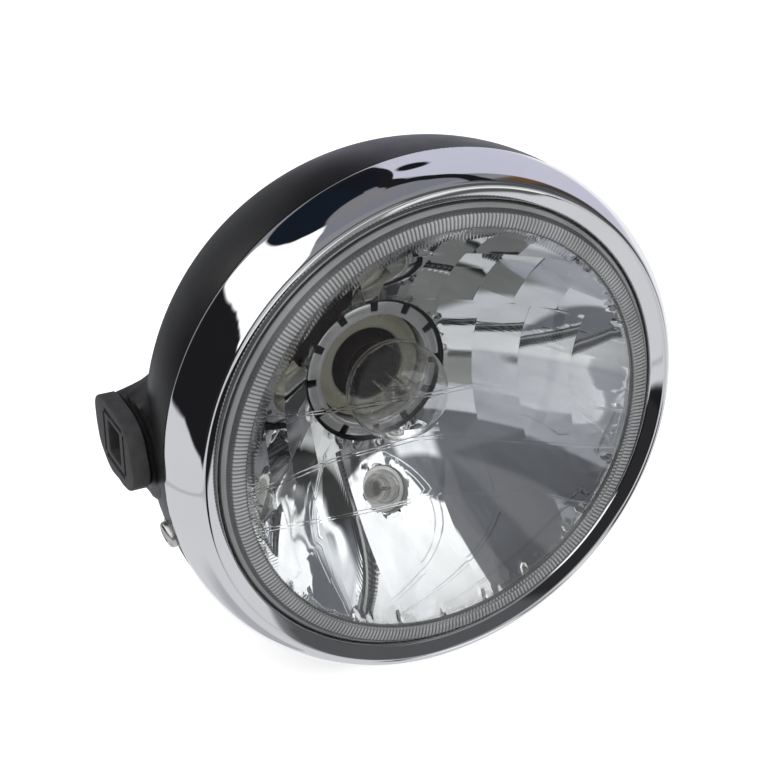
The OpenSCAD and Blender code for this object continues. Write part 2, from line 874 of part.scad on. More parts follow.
// Black holder that slips over the cap
module bulb_socket() {
    bore = cap_r + seat_gap;
    floor = cap_end + 0.3;
    color(black)
    difference() {
        turned()
            polygon([[bore, socket_front], [socket_r, socket_front], [socket_r, socket_end - 1],
                     [socket_r - 1, socket_end], [0, socket_end], [0, floor], [bore, floor]]);
        for (side = [0, 180])
            outward(90 + side, pin_depth)
                translate([-pin_d / 2 - 0.4, socket_front - pin_depth - over, cap_r - over])
                    cube([pin_d + 0.8, pin_depth - socket_front + pin_d / 2 + over + 0.6, 3]);
        terminal_slots(0.15);
    }
}

// Outline of the three blade terminals, wider than a blade by slack
module terminal_slots(slack) {
    for (x = [-6, 0, 6])
        translate([x - blade_thickness / 2 - slack, blade_front - bolt_depth, -blade_width / 2 - slack])
            cube([blade_thickness + 2 * slack, blade_length, blade_width + 2 * slack]);
}

// Blade terminals for the lamp's wires
module socket_terminals() {
    color(brass)
        terminal_slots(0);
}

// Wire spring that presses the bulb's flange to the reflector
module lock_spring() {
    wire_r = 0.7;
    ring = neck_r - 4.2;
    color("silver")
        turned()
            translate([ring, flange_plate + 1 + wire_r + 0.1])
                circle(wire_r, $fn = 24);
}

// Rubber boot from the reflector's neck to the holder
module dust_boot() {
    wall = 2;
    wide_r = neck_r + seat_gap;
    tight_r = socket_r + 0.3;
    front = neck_end - 4.5;
    shoulder = neck_end + 4;
    cuff = socket_end - 5;
    color(rubber)
        turned()
            polygon([
                [wide_r, front], [wide_r + wall, front], [wide_r + wall, shoulder + 0.6],
                [tight_r + wall, cuff + 0.8], [tight_r + wall, socket_end - 1],
                [tight_r, socket_end - 1], [tight_r, cuff], [wide_r, shoulder]]);
}

// Push-in holder of the pilot bulb
module pilot_holder() {
    rim_height = 2.2;
    color(pale)
    along_pilot()
        difference() {
            union() {
                translate([0, 0, 2])
                    cylinder(pilot_tube_end - 1.5, r = pilot_bore_r - 0.2);
                translate([0, 0, pilot_tube_end + 0.2])
                    cylinder(rim_height, r = pilot_bore_r + 2);
                translate([0, 0, pilot_tube_end + 2])
                    cylinder(7, r = 6.4);
            }
            translate([0, 0, 1])
                cylinder(5, r = pilot_glass_r + 1.6);
            translate([0, 0, 5])
                cylinder(6, r = pilot_glass_r + 0.2);
            pilot_blades(0.15);
        }
}

// Capless pilot bulb with its round end
module pilot_glass() {
    wall = 0.6;
    base = 10.5;
    pinch = base - 4.5;
    front = -5.4;
    color(clear)
        along_pilot()
            rotate_extrude()
                polygon(concat(
                    [for (i = [0:6])
                        let (a = 15 * i)
                        [pilot_glass_r * sin(a), front + pilot_glass_r * (1 - cos(a))]],
                    [[pilot_glass_r, base], [0, base], [0, pinch], [pilot_glass_r - wall, pinch]],
                    [for (i = [6:-1:0])
                        let (a = 15 * i)
                        [(pilot_glass_r - wall) * sin(a),
                         front + pilot_glass_r - (pilot_glass_r - wall) * cos(a)]]));
}

// Filament and support wires of the pilot bulb
module pilot_filament() {
    color("gray")
        along_pilot() {
            for (x = [-2, 2])
                translate([x, 0, -0.4])
                    cylinder(6.3, d = 0.6, $fn = 24);
            translate([-2.2, 0, -0.4])
                rotate([0, 90, 0])
                    cylinder(4.4, d = 0.8, $fn = 24);
        }
}

module pilot_blades(slack) {
    for (x = [-2.8, 2.8])
        translate([x - blade_thickness / 2 - slack, -1.5 - slack, pilot_tube_end + 3])
            cube([blade_thickness + 2 * slack, 3 + 2 * slack, 10]);
}

// Contacts of the pilot bulb's holder
module pilot_terminals() {
    color(brass)
        along_pilot()
            pilot_blades(0);
}

// Rubber pad with a square hole and a square groove round it
module mount_pad(side) {
    groove_width = 1.8;
    groove_floor = pad_thickness - 1.4;
    collar = socket_side + 4.6;
    reach = 2.4;
    outer = [collar + 2 * reach, collar + groove_width];
    inner = [outer[0] - 2 * groove_width, outer[1] - 2 * groove_width];
    color(rubber)
        out_of_side(side)
            translate([0, 0, pad_face - pad_thickness])
                difference() {
                    linear_extrude(pad_thickness) pad_outline(0);
                    translate([-socket_side / 2, -socket_side / 2, -over])
                        cube([socket_side, socket_side, pad_thickness + 2 * over]);
                    translate([0, 0, groove_floor])
                        linear_extrude(pad_thickness)
                            difference() {
                                square(outer, center = true);
                                square(inner, center = true);
                            }
                    for (end = [-1, 1])
                        translate([end * (outer[0] - groove_width) / 2, 0, pad_thickness / 2 + 1.5])
                            cube([groove_width, collar - 1, pad_thickness], center = true);
                }
}
module mount_pad_left() mount_pad(-1);
module mount_pad_right() mount_pad(1);

// Square nut held in a boss, for the bolt that carries the lamp
module mount_nut(side) {
    color(zinc)
        out_of_side(side)
            translate([0, 0, nut_inner])
                difference() {
                    translate([-nut_side / 2, -nut_side / 2, 0])
                        cube([nut_side, nut_side, nut_thickness]);
                    translate([0, 0, -over])
                        cylinder(nut_thickness + 2 * over, d = nut_bore);
                }
}
module mount_nut_left() mount_nut(-1);
module mount_nut_right() mount_nut(1);

// Rubber grommet that lines the wiring port
module wiring_grommet() {
    neck = port_r - 0.2;
    inner = port_depth - grommet_length;
    rim_reach = 3;
    color(rubber)
        translate([0, 0, port_z])
            turned()
                polygon([
                    [grommet_bore_r, inner], [neck, inner], [neck, bead_back - bead_length],
                    [neck + bead_rise, bead_back - bead_length + 0.5],
                    [neck + bead_rise, bead_back - 0.5],
                    [neck, bead_back], [neck, port_depth + 0.2],
                    [port_r + rim_reach, port_depth + 0.2], [port_r + rim_reach, port_depth + 1.4],
                    [port_r + 1.8, port_depth + grommet_lip],
                    [grommet_bore_r, port_depth + grommet_lip]]);
}

shell();
rim();
rim_bracket_left();
rim_bracket_right();
rim_top_hook();
rim_nut_left();
rim_nut_right();
rim_screw_left();
rim_screw_right();
rim_washer_left();
rim_washer_right();
rim_tabs();
unit_ring();
ring_screws();
lens();
lens_seal();
reflector();
bulb_seat_ring();
bulb_flange();
bulb_cap();
bulb_glass();
bulb_stem();
bulb_leads();
bulb_filaments();
filament_shield();
bulb_socket();
socket_terminals();
lock_spring();
dust_boot();
pilot_holder();
pilot_glass();
pilot_filament();
pilot_terminals();
mount_pad_left();
mount_pad_right();
mount_nut_left();
mount_nut_right();
wiring_grommet();
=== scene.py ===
import math

import bmesh
import bpy
from mathutils import Matrix, Vector


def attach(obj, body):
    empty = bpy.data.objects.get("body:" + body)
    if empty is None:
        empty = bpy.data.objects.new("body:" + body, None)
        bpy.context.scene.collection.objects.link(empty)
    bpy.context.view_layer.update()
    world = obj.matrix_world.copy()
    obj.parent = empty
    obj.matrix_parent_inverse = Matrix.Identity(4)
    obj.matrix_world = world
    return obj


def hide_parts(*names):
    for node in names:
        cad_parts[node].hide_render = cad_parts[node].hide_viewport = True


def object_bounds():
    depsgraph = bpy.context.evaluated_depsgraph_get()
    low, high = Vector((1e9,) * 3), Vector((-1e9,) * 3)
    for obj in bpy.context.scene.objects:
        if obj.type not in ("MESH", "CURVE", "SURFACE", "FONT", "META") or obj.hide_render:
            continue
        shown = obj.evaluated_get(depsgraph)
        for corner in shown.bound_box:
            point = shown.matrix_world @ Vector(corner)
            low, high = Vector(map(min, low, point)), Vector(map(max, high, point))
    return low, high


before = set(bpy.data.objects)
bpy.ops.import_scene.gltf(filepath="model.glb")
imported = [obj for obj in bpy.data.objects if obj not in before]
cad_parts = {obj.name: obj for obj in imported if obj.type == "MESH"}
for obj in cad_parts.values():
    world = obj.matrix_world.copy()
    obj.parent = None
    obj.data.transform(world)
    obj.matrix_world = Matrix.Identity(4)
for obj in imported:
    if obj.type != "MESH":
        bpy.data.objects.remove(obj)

cad_box = [list(corner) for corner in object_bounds()]

# Camera. The lamp is seen from its upper left front. The camera's place is given from the middle
# of the lip that frames the lens, along its own right, up and back directions.
lip_middle = Vector((0, -0.041, 0))
camera_shift = Vector((-0.01975, 0.01557, 0.51015))
camera_turn = math.radians(-26.71)
camera_rise = math.radians(26.46)


def placed(name, data):
    """Adds an object to the scene."""
    thing = bpy.data.objects.new(name, data)
    bpy.context.scene.collection.objects.link(thing)
    return thing


camera_back = Vector((math.sin(camera_turn) * math.cos(camera_rise),
                      -math.cos(camera_turn) * math.cos(camera_rise), math.sin(camera_rise)))
camera_right = Vector((math.cos(camera_turn), math.sin(camera_turn), 0))
axes = Matrix((camera_right, camera_back.cross(camera_right), camera_back)).transposed()
camera_data = bpy.data.cameras.new("camera")
camera_data.lens = 75
camera_data.sensor_width = 36
camera_data.clip_start = 0.01
camera = placed("camera", camera_data)
camera.matrix_world = Matrix.Translation(lip_middle + axes @ camera_shift) @ axes.to_4x4()
bpy.context.scene.camera = camera

# Rim. Deep steel ring, pressed from one sheet, polished and chrome plated. Its front edge is rolled
# over a round crest, slopes back towards the glass and is turned in as the lip that frames the lens.
# Sections are drawn as radius and depth in mm, with the depth counted back from the lip.
lip_offset = 41.0
rim_r = 90.0
rim_side_r = 81.5
rim_side_width = 8.5
rim_side_length = 17.0
rim_depth = 14.0
rim_hem = [(89.2, 14.0), (89.7, 13.92), (89.94, 13.65)]
crest_middle = (82.88, 0.008)
crest_roll = 2.5
land_tilt = -23
lip_roll_middle = (78.9, 0.177)
lip_roll = 1.1
lip_r = 77.8
lip_turn = 2.0
rim_wall = 1.0


def spaced(start, end, steps):
    """Values at equal steps from start to end."""
    return [start + (end - start) * i / steps for i in range(steps + 1)]


def rolled(middle, radius, start, end, steps):
    """Arc of the rim's section, between two tilts of its face from straight ahead."""
    return [(middle[0] + radius * math.sin(t), middle[1] - radius * math.cos(t))
            for t in map(math.radians, spaced(start, end, steps))]


def rim_line(inset):
    """Section of the rim from the rear edge over the crest to the turned lip."""
    side = [(rim_side_r + (rim_side_width - inset) * math.cos(t),
             rim_depth - (rim_side_length - inset) * math.sin(t))
            for t in map(math.radians, spaced(4, 70.7, 40))]
    return (([(rim_r - inset, rim_depth)] if inset else rim_hem) + side
            + rolled(crest_middle, crest_roll - inset, 35, land_tilt, 16)
            + rolled(lip_roll_middle, lip_roll - inset, land_tilt, -90, 8) + [(lip_r + inset, lip_turn)])


def outward(built):
    """Turns a closed mesh so that its faces point outwards."""
    bmesh.ops.remove_doubles(built, verts=built.verts, dist=1e-7)
    bmesh.ops.recalc_face_normals(built, faces=built.faces)
    if built.calc_volume(signed=True) < 0:
        bmesh.ops.reverse_faces(built, faces=built.faces)
    return built


def smooth(mesh, sharp=35):
    """Shades a mesh smooth, with sharp edges past an angle."""
    mesh.shade_smooth()
    mesh.set_sharp_from_angle(angle=math.radians(sharp))
    return mesh


def plain_mesh(name, built):
    """Mesh made of a bmesh, which is used up."""
    mesh = bpy.data.meshes.new(name)
    built.to_mesh(mesh)
    built.free()
    return mesh


def skinned(built, ring, following):
    """Faces between two rings of as many points, which may share or repeat points."""
    for i in range(len(ring)):
        j = (i + 1) % len(ring)
        corners = list(dict.fromkeys((ring[i], ring[j], following[j], following[i])))
        if len(corners) > 2:
            built.faces.new(corners)


def circle(radius, steps):
    """Places round a circle."""
    return [(radius * math.cos(2 * math.pi * i / steps), radius * math.sin(2 * math.pi * i / steps))
            for i in range(steps)]


def turned(outline, steps):
    """Turns a closed section round the lens axis."""
    built = bmesh.new()
    rings = []
    for radius, depth in outline:
        y = (depth - lip_offset) / 1000
        if radius:
            rings.append([built.verts.new((x, y, z)) for x, z in circle(radius / 1000, steps)])
        else:
            rings.append([built.verts.new((0, y, 0))] * steps)
    for ring, following in zip(rings, rings[1:] + rings[:1]):
        skinned(built, ring, following)
    return outward(built)


def piece_of(name, shape, material, sharp=35):
    """Adds a smooth piece that rides on the lamp, with sharp edges past an angle."""
    mesh = plain_mesh(name, shape) if isinstance(shape, bmesh.types.BMesh) else shape
    piece = placed(name, smooth(mesh, sharp))
    if material:
        piece.data.materials.clear()
        piece.data.materials.append(material)
    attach(piece, "root")
    return piece


def feed(node, values):
    """Sets inputs of a node to constants, or links sockets to them."""
    for key, value in values.items():
        if isinstance(value, bpy.types.NodeSocket):
            node.id_data.links.new(value, node.inputs[key])
        else:
            node.inputs[key].default_value = value


def add_node(tree, kind, values=None, **settings):
    """Adds a node to a tree, sets its properties and feeds its inputs."""
    node = tree.nodes.new(kind)
    for key, value in settings.items():
        setattr(node, key, value)
    feed(node, values or {})
    return node


def ramp(value, start, end, low=0.0, high=1.0, blend="LINEAR"):
    """Maps the values of a socket from start to end on those from low to high."""
    values = {"Value": value, "From Min": start, "From Max": end, "To Min": low, "To Max": high}
    return add_node(value.id_data, "ShaderNodeMapRange", values, interpolation_type=blend).outputs["Result"]


def tinted(colour, share):
    """Multiplies a colour by the value of a socket."""
    return add_node(share.id_data, "ShaderNodeMix", {"Factor": 1, "A": colour, "B": share},
                    data_type="RGBA", blend_type="MULTIPLY").outputs["Result"]


def shader_of(material):
    return material.node_tree.nodes["Principled BSDF"]


# Values between which a noise mostly stays
noise_ends = (0.3, 0.7)


def finish(name, colour, metal, rough, grain=400.0, mottle=0.1, rough_mottle=0.1, bump=0.05,
           bump_scale=900.0):
    """Finish whose colour and gloss vary with a noise, with a fine bump."""
    made = bpy.data.materials.new(name)
    made.use_nodes = True
    tree = made.node_tree
    place = add_node(tree, "ShaderNodeTexCoord").outputs["Object"]
    noise = add_node(tree, "ShaderNodeTexNoise", {"Vector": place, "Scale": grain, "Detail": 4}).outputs["Fac"]
    fine = add_node(tree, "ShaderNodeTexNoise", {"Vector": place, "Scale": bump_scale, "Detail": 3})
    relief = add_node(tree, "ShaderNodeBump",
                      {"Strength": bump, "Distance": 0.0002, "Height": fine.outputs["Fac"]})
    feed(shader_of(made), {
        "Metallic": metal, "Normal": relief.outputs["Normal"],
        "Base Color": tinted((*colour, 1), ramp(noise, *noise_ends, 1 - mottle, 1 + mottle)),
        "Roughness": ramp(noise, *noise_ends, max(rough - rough_mottle / 2, 0), rough + rough_mottle / 2)})
    return made


chrome = finish("chrome plate", (0.9, 0.905, 0.92), 1, 0.03, grain=60, mottle=0.02, rough_mottle=0.03,
                bump=0.004, bump_scale=120)
rim_ring = turned(rim_line(0) + rim_line(rim_wall)[::-1], 384)
rim = piece_of("rim_chromed", rim_ring, chrome, 40)
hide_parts("rim")

# Shell. Bucket of sheet steel, painted satin black, with a domed back, a boss on each side for the
# pads, and a short collar at the back for the wires. The neck at its front stands inside the rim.
shell_r = 89.8
shell_mid = 19.0
shell_dome = 79.0
shell_back = 94.0
shell_wall = 2.5
shell_front = 14.6
spigot_front = 7.5
spigot_back = 16.4
spigot_r = 87.4
spigot_inner_r = 85.4
port_z = -48.0
port_r = 15.5
port_depth = 95.0
port_length = 26.0
port_wall = 4.0
boss_face = 90.55
boss_foot = 74.0
boss_foot_grow = -4.0
boss_shoulder = 89.55
boss_hole_side = 13.5
socket_side = 11.5
round_steps = 96
shaft_ends = (70, 93)
port_shaft_ends = (61, 101)
# Outline of a pad, seen square on: place along the lamp from the bolt axis, and height
pad_points = ((14.9, 10.4), (8.5, 11.6), (1.5, 11.4), (-5.4, 10.9), (-9.9, 9.5), (-13.9, 6.3), (-15.8, 2.0),
              (-17.4, -3.5), (-16.5, -7.6), (-12.9, -10.9), (-7.8, -12.2), (-0.8, -12.4), (7.4, -12.4),
              (11.9, -10.2), (16.3, -6.6), (18.2, -2.0), (19.0, 3.2), (18.6, 7.2))
# How far each ring of a boss reaches past the pad's outline, and stands off the dome, or lies under the
# boss's face
boss_foot_rings = ((7.5, -1.2), (5.2, 0.0), (3.6, 1.4), (2.2, 3.4), (1.1, 6.4))
boss_edge_rings = ((-0.2, 0.7), (-0.6, 0.2), (-1.1, 0.0))


def dome_line(inset, start, end, steps):
    """Section of the dome from one depth to another."""
    a, b = [math.asin(min(1, (d - shell_mid) / (shell_dome - inset))) for d in (start, end)]
    return [((shell_r - inset) * math.cos(t), shell_mid + (shell_dome - inset) * math.sin(t))
            for t in spaced(a, b, steps)]


def outline_angles():
    """Bearings of the points of a pad's outline and of the square that goes with it."""
    return [2 * math.pi * (i + 0.5) / round_steps for i in range(round_steps)]


def pad_ring(grow):
    """Outline of a pad made wider by grow, as a smooth closed line."""
    polar = sorted((math.atan2(h, a) % (2 * math.pi), math.hypot(a, h)) for a, h in pad_points)
    size = len(polar)
    points = []
    for angle in outline_angles():
        k = max((j for j in range(size) if polar[j][0] <= angle), default=-1)
        (t0, r0), (t1, r1), (t2, r2), (t3, r3) = [
            (polar[j % size][0] + 2 * math.pi * (j // size), polar[j % size][1]) for j in range(k - 1, k + 3)]
        s = (angle - t1) / (t2 - t1)
        slope_1, slope_2 = (r2 - r0) / (t2 - t0) * (t2 - t1), (r3 - r1) / (t3 - t1) * (t2 - t1)
        r = ((2 * s ** 3 - 3 * s ** 2 + 1) * r1 + (s ** 3 - 2 * s ** 2 + s) * slope_1
             + (3 * s ** 2 - 2 * s ** 3) * r2 + (s ** 3 - s ** 2) * slope_2) + grow
        points.append((r * math.cos(angle), r * math.sin(angle)))
    return points


def square_ring(side):
    """Outline of a square with as many points as a pad's outline."""
    points = []
    for angle in outline_angles():
        reach = max(abs(math.cos(angle)), abs(math.sin(angle)))
        points.append((side / 2 * math.cos(angle) / reach, side / 2 * math.sin(angle) / reach))
    return points


def beside(side, x, outline):
    """Ring of points in metres on the right, 1, or left, -1, of the lamp."""
    return [(side * x / 1000, along / 1000, height / 1000) for along, height in outline]


def lofted(rings, capped=False):
    """Closed skin through rings of points, joined last to first or with a cap at either end."""
    built = bmesh.new()
    made = [[built.verts.new(p) for p in ring] for ring in rings]
    for ring, following in zip(made, made[1:] + ([] if capped else made[:1])):
        skinned(built, ring, following)
    if capped:
        built.faces.new(made[0])
        built.faces.new(made[-1])
    return outward(built)


def joined(*meshes):
    """Puts several meshes in one bmesh."""
    whole = bmesh.new()
    for mesh in meshes:
        whole.from_mesh(mesh)
    return whole


def boss(side):
    """Boss from the nut up through the dome to the face under the pad, and down the hole."""
    rings = [beside(side, boss_foot, pad_ring(boss_foot_grow))]
    for grow, lift in boss_foot_rings:
        ring = []
        for along, height in pad_ring(grow):
            dome = shell_r * math.sqrt(max(0.0, 1 - ((along + lip_offset - shell_mid) / shell_dome) ** 2))
            x = min(math.sqrt(dome ** 2 - height ** 2) + lift, boss_shoulder)
            ring += beside(side, x, [(along, height)])
        rings.append(ring)
    rings += [beside(side, boss_face - drop, pad_ring(grow)) for grow, drop in boss_edge_rings]
    rings += [beside(side, x, square_ring(socket_side)) for x in (boss_face, boss_foot)]
    return plain_mesh("boss", lofted(rings))


def port_ring(radius, depth):
    """Ring round the wiring port's axis."""
    return [(x, (depth - lip_offset) / 1000, port_z / 1000 + z) for x, z in circle(radius / 1000, round_steps)]


def applied(holder):
    """Plain mesh of an object with its modifiers applied. The object is removed."""
    made = bpy.data.meshes.new_from_object(holder.evaluated_get(bpy.context.evaluated_depsgraph_get()))
    bpy.data.objects.remove(holder)
    return made


def cut_with(name, mesh, cutter):
    """Cuts one closed mesh with another and gives the rest."""
    body, tool = placed(name, mesh), placed(name + "_cut", cutter)
    cut = body.modifiers.new("cut", "BOOLEAN")
    cut.operation = "DIFFERENCE"
    cut.solver = "EXACT"
    cut.object = tool
    made = applied(body)
    bpy.data.objects.remove(tool)
    return made


satin = finish("satin black paint", (0.008, 0.008, 0.009), 0, 0.36, grain=90, mottle=0.15, rough_mottle=0.08,
               bump=0.12, bump_scale=700)
feed(shader_of(satin), {"Specular IOR Level": 0.4})
bucket = turned([(spigot_r, spigot_front), (spigot_r, shell_front)]
                + dome_line(0, shell_front, shell_back - 0.6, 60)
                + [(27.6, shell_back - 0.15), (26.4, shell_back), (0, shell_back), (0, shell_back - shell_wall)]
                + dome_line(shell_wall, spigot_back, shell_back - shell_wall, 40)[::-1]
                + [(spigot_inner_r, spigot_back), (spigot_inner_r, spigot_front)], 192)
shafts = [[beside(side, x, square_ring(boss_hole_side)) for x in shaft_ends] for side in (-1, 1)]
shafts.append([port_ring(port_r + 0.3, depth) for depth in port_shaft_ends])
holes = plain_mesh("shell_holes", joined(*(plain_mesh("hole", lofted(rings, capped=True)) for rings in shafts)))
body = cut_with("shell_cut", smooth(plain_mesh("shell_body", bucket)), holes)
port_outer_r = port_r + port_wall
collar = lofted([port_ring(radius, depth) for radius, depth in (
    (port_r, port_depth - port_length), (port_outer_r, port_depth - port_length),
    (port_outer_r, port_depth - 0.8), (port_outer_r - 0.8, port_depth), (port_r + 0.5, port_depth),
    (port_r, port_depth - 0.5))])
whole = joined(body, boss(-1), boss(1), plain_mesh("collar", collar))
shell = piece_of("shell_painted", whole, satin, 40)
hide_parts("shell")

# Pads. Moulded black rubber, one on each boss, with a square hole for the nut and a square groove round
# it. The groove runs deep in front of the hole and behind it. The steel nuts lie in the bosses.
pad_back = 90.8
pad_face = 96.6
past_pad = 98.0
# Edges, half length and floor of the deep slots before and behind the hole, and of the grooves over
# and under it
slot_in, slot_out, slot_half, slot_floor = 8.65, 10.45, 7.1, pad_back + 1.5
groove_in, groove_out, groove_half, groove_floor = 7.15, 8.95, 8.9, pad_face - 0.6


def box_mesh(boxes):
    """Mesh of closed boxes, each given by two opposite corners in mm from the bolt axis."""
    built = bmesh.new()
    for one, other in boxes:
        for vert in bmesh.ops.create_cube(built, size=1)["verts"]:
            vert.co = Vector([(min if vert.co[k] < 0 else max)(one[k], other[k]) / 1000 for k in range(3)])
    return plain_mesh("boxes", built)


def coat_nodes(material, *names):
    """Gives solids of the frame their material."""
    for name in names:
        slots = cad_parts[name].data.materials
        slots.clear()
        slots.append(material)


rubber = finish("black rubber", (0.045, 0.045, 0.047), 0, 0.6, grain=250, mottle=0.25, bump=0.35,
                bump_scale=1800)
dark_zinc = finish("dull zinc", (0.35, 0.35, 0.34), 1, 0.4, grain=300, mottle=0.2)
for side, hand in ((-1, "left"), (1, "right")):
    rings = [beside(side, x, pad_ring(grow)) for grow, x in (
        (-0.4, pad_back), (0, pad_back + 0.4), (0, pad_face - 0.5), (-0.15, pad_face - 0.15), (-0.5, pad_face))]
    rings += [beside(side, x, square_ring(socket_side + more)) for x, more in (
        (pad_face, 0.5), (pad_face - 0.25, 0), (pad_back, 0))]
    slots = box_mesh([((side * slot_floor, sign * slot_in, -slot_half),
                       (side * past_pad, sign * slot_out, slot_half)) for sign in (-1, 1)])
    grooves = box_mesh([((side * groove_floor, -groove_half, sign * groove_in),
                         (side * past_pad, groove_half, sign * groove_out)) for sign in (-1, 1)])
    pad_mesh = cut_with("pad", smooth(plain_mesh("pad_" + hand, lofted(rings))), slots)
    pad = piece_of("pad_" + hand, cut_with("pad", pad_mesh, grooves), rubber)
    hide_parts("mount_pad_" + hand)
    coat_nodes(dark_zinc, "mount_nut_" + hand)

# Rim screws. Pan-headed steel screws, zinc plated, that hold the rim on the bucket at the lower left
# and right, each on a washer. The head's cross is pressed in.
screw_angle = 16.6
screw_depth = 22.0
screw_line = ((77.65, 0.0), (77.65, 2.2), (78.2, 2.5), (89.8, 2.5), (89.8, 4.3), (90.0, 4.5), (90.9, 4.5),
              (91.5, 4.25), (92.0, 3.6), (92.3, 2.5), (92.4, 0.0))
cross_floor, cross_long, cross_thin = 91.0, 2.7, 0.6


def maths(operation, *terms):
    """Math node on sockets and numbers."""
    tree = next(term for term in terms if isinstance(term, bpy.types.NodeSocket)).id_data
    return add_node(tree, "ShaderNodeMath", dict(enumerate(terms)), operation=operation).outputs[0]


def product(first, *others):
    """Product of sockets and numbers."""
    for other in others:
        first = maths("MULTIPLY", first, other)
    return first


def growth_tree(name, **inputs):
    """Starts a geometry node tree. Gives it, the sockets to set, and those to read inside."""
    tree = bpy.data.node_groups.new(name, "GeometryNodeTree")
    tree.interface.new_socket("Geometry", in_out="INPUT", socket_type="NodeSocketGeometry")
    sockets = [tree.interface.new_socket(label, in_out="INPUT", socket_type="NodeSocket" + kind)
               for label, kind in inputs.items()]
    tree.interface.new_socket("Geometry", in_out="OUTPUT", socket_type="NodeSocketGeometry")
    return tree, sockets, add_node(tree, "NodeGroupInput").outputs


def coat_and_end(geometry, material, second=None, selection=None):
    """Ends a node tree: makes what it built real, sets its material, and a second one on a selection."""
    tree = geometry.id_data
    real = add_node(tree, "GeometryNodeRealizeInstances", {0: geometry})
    coat = add_node(tree, "GeometryNodeSetMaterial", {"Geometry": real.outputs[0], "Material": material})
    if second:
        coat = add_node(tree, "GeometryNodeSetMaterial",
                        {"Geometry": coat.outputs[0], "Material": second, "Selection": selection})
    add_node(tree, "NodeGroupOutput", {0: coat.outputs[0]})


def grown(name, mesh, tree, sockets, values):
    """Runs a node tree on a mesh and gives the plain mesh that results."""
    holder = placed(name, mesh)
    growth = holder.modifiers.new("growth", "NODES")
    growth.node_group = tree
    for socket, value in zip(sockets, values):
        growth[socket.identifier] = value
    return applied(holder)


# Copies of a part set round the lens axis at equal steps
round_axis, round_sockets, given = growth_tree(
    "set round the lens axis", copies="Int", first_angle="Float", angle_between="Float", finish="Material")
spots = add_node(round_axis, "GeometryNodeMeshLine", {"Offset": (0, 0, 0), "Count": given["copies"]})
number = add_node(round_axis, "GeometryNodeInputIndex").outputs[0]
angle = maths("ADD", given["first_angle"], product(number, given["angle_between"]))
turning = add_node(round_axis, "ShaderNodeCombineXYZ", {"Y": product(angle, -1)})
setting = add_node(round_axis, "GeometryNodeInstanceOnPoints", {
    "Points": spots.outputs[0], "Instance": given["Geometry"], "Rotation": turning.outputs[0]})
coat_and_end(setting.outputs[0], given["finish"])

zinc = finish("zinc plate", (0.72, 0.72, 0.7), 1, 0.3, grain=420, mottle=0.3, rough_mottle=0.25, bump=0.15,
              bump_scale=700)
screw_y = screw_depth - lip_offset
screw = lofted([[(along / 1000, (screw_y + y) / 1000, z / 1000) for y, z in circle(radius, 48)]
                for along, radius in screw_line], capped=True)
screw_mesh = smooth(plain_mesh("screw", screw), 40)
for reach_y, reach_z in ((cross_long, cross_thin), (cross_thin, cross_long)):
    screw_mesh = cut_with("screw", screw_mesh, box_mesh([
        ((cross_floor, screw_y - reach_y, -reach_z), (cross_floor + 2, screw_y + reach_y, reach_z))]))
screws_mesh = grown("rim_screws", screw_mesh, round_axis, round_sockets,
                    (2, math.radians(-screw_angle), math.radians(180 + 2 * screw_angle), zinc))
screws = piece_of("rim_screws", screws_mesh, zinc)
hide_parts("rim_screw_left", "rim_screw_right")
coat_nodes(zinc, "rim_washer_left", "rim_washer_right")

# Lens. Pressed clear glass: a low dome in a bead with fine radial flutes, and an edge that stands in
# the reflector's groove. The flank outside the bead is ribbed more finely.
bead_r = 74.6
bead_width = 4.6
bead_height = 2.8
lens_dome = 7.5
lens_wall = 3.0
lens_edge_r = 77.4
flute_count = 350
flute_height = 0.00028
# Radii between which the bead is fluted and the flank ribbed, and the Y that ends these and the frosting
# towards the back, in m
fluted = (0.0703, 0.0744)
ribbed = (0.0747, 0.0773)
bead_back_y, flank_back_y, frosted_back_y = -0.0436, -0.0408, -0.0406
crease_reach = 80
crease_width = 0.00022
# Creases of the pressing: height at places across, in mm
crease_lines = (((-80, 21.8), (-31, 20.8), (5, 20.2), (14, 17.6), (35.5, 7.3), (80, -12.5)),
                ((-80, -6.5), (-43, 4.5), (-17, 6.5), (-3, 4.9), (27, -5.6), (80, -25)),
                ((-80, -16.5), (-40, -16.0), (-6, -15.3), (24, -22.7), (80, -52)))
lens_flank = [(lens_edge_r, 6.3), (lens_edge_r, 0.4), (77.2, 0.0), (76.6, -0.6), (75.7, -1.5), (75.0, -2.3),
              (bead_r, -2.6)]
lens_bead = [(74.5, -2.95), (74.3, -3.25), (73.9, -3.5), (73.2, -3.65), (72.3, -3.72), (71.4, -3.72),
             (70.6, -3.7), (70.35, -3.66)]
lens_inner_edge = [(73.4, 0.0), (75.0, 1.4), (75.0, 6.3)]


def dome_of_lens(inset, steps):
    """Section of the lens dome from the bead to the middle."""
    inner_r = bead_r - bead_width
    ball = (inner_r ** 2 + lens_dome ** 2) / (2 * lens_dome)
    top = -bead_height - 0.8 - lens_dome
    span = math.asin(inner_r / ball)
    turns = [span * (1 - i / steps) for i in range(steps + 1)]
    return [((ball - inset) * math.sin(t), top + ball - (ball - inset) * math.cos(t)) for t in turns]


def clear_glass(name, tint, index):
    """Glass with a faint tint and the slight waviness of a pressed surface."""
    made = finish(name, tint, 0, 0.0, grain=40, mottle=0.01, rough_mottle=0.0, bump=0.02, bump_scale=60)
    feed(shader_of(made), {"Transmission Weight": 1, "IOR": index})
    return made


def object_axes(material):
    """X, Y and Z of the object coordinates in a material."""
    tree = material.node_tree
    place = add_node(tree, "ShaderNodeTexCoord").outputs["Object"]
    return add_node(tree, "ShaderNodeSeparateXYZ", {0: place}).outputs


def hypotenuse(first, second):
    """Length of the line that has two parts at a right angle."""
    return maths("SQRT", maths("ADD", product(first, first), product(second, second)))


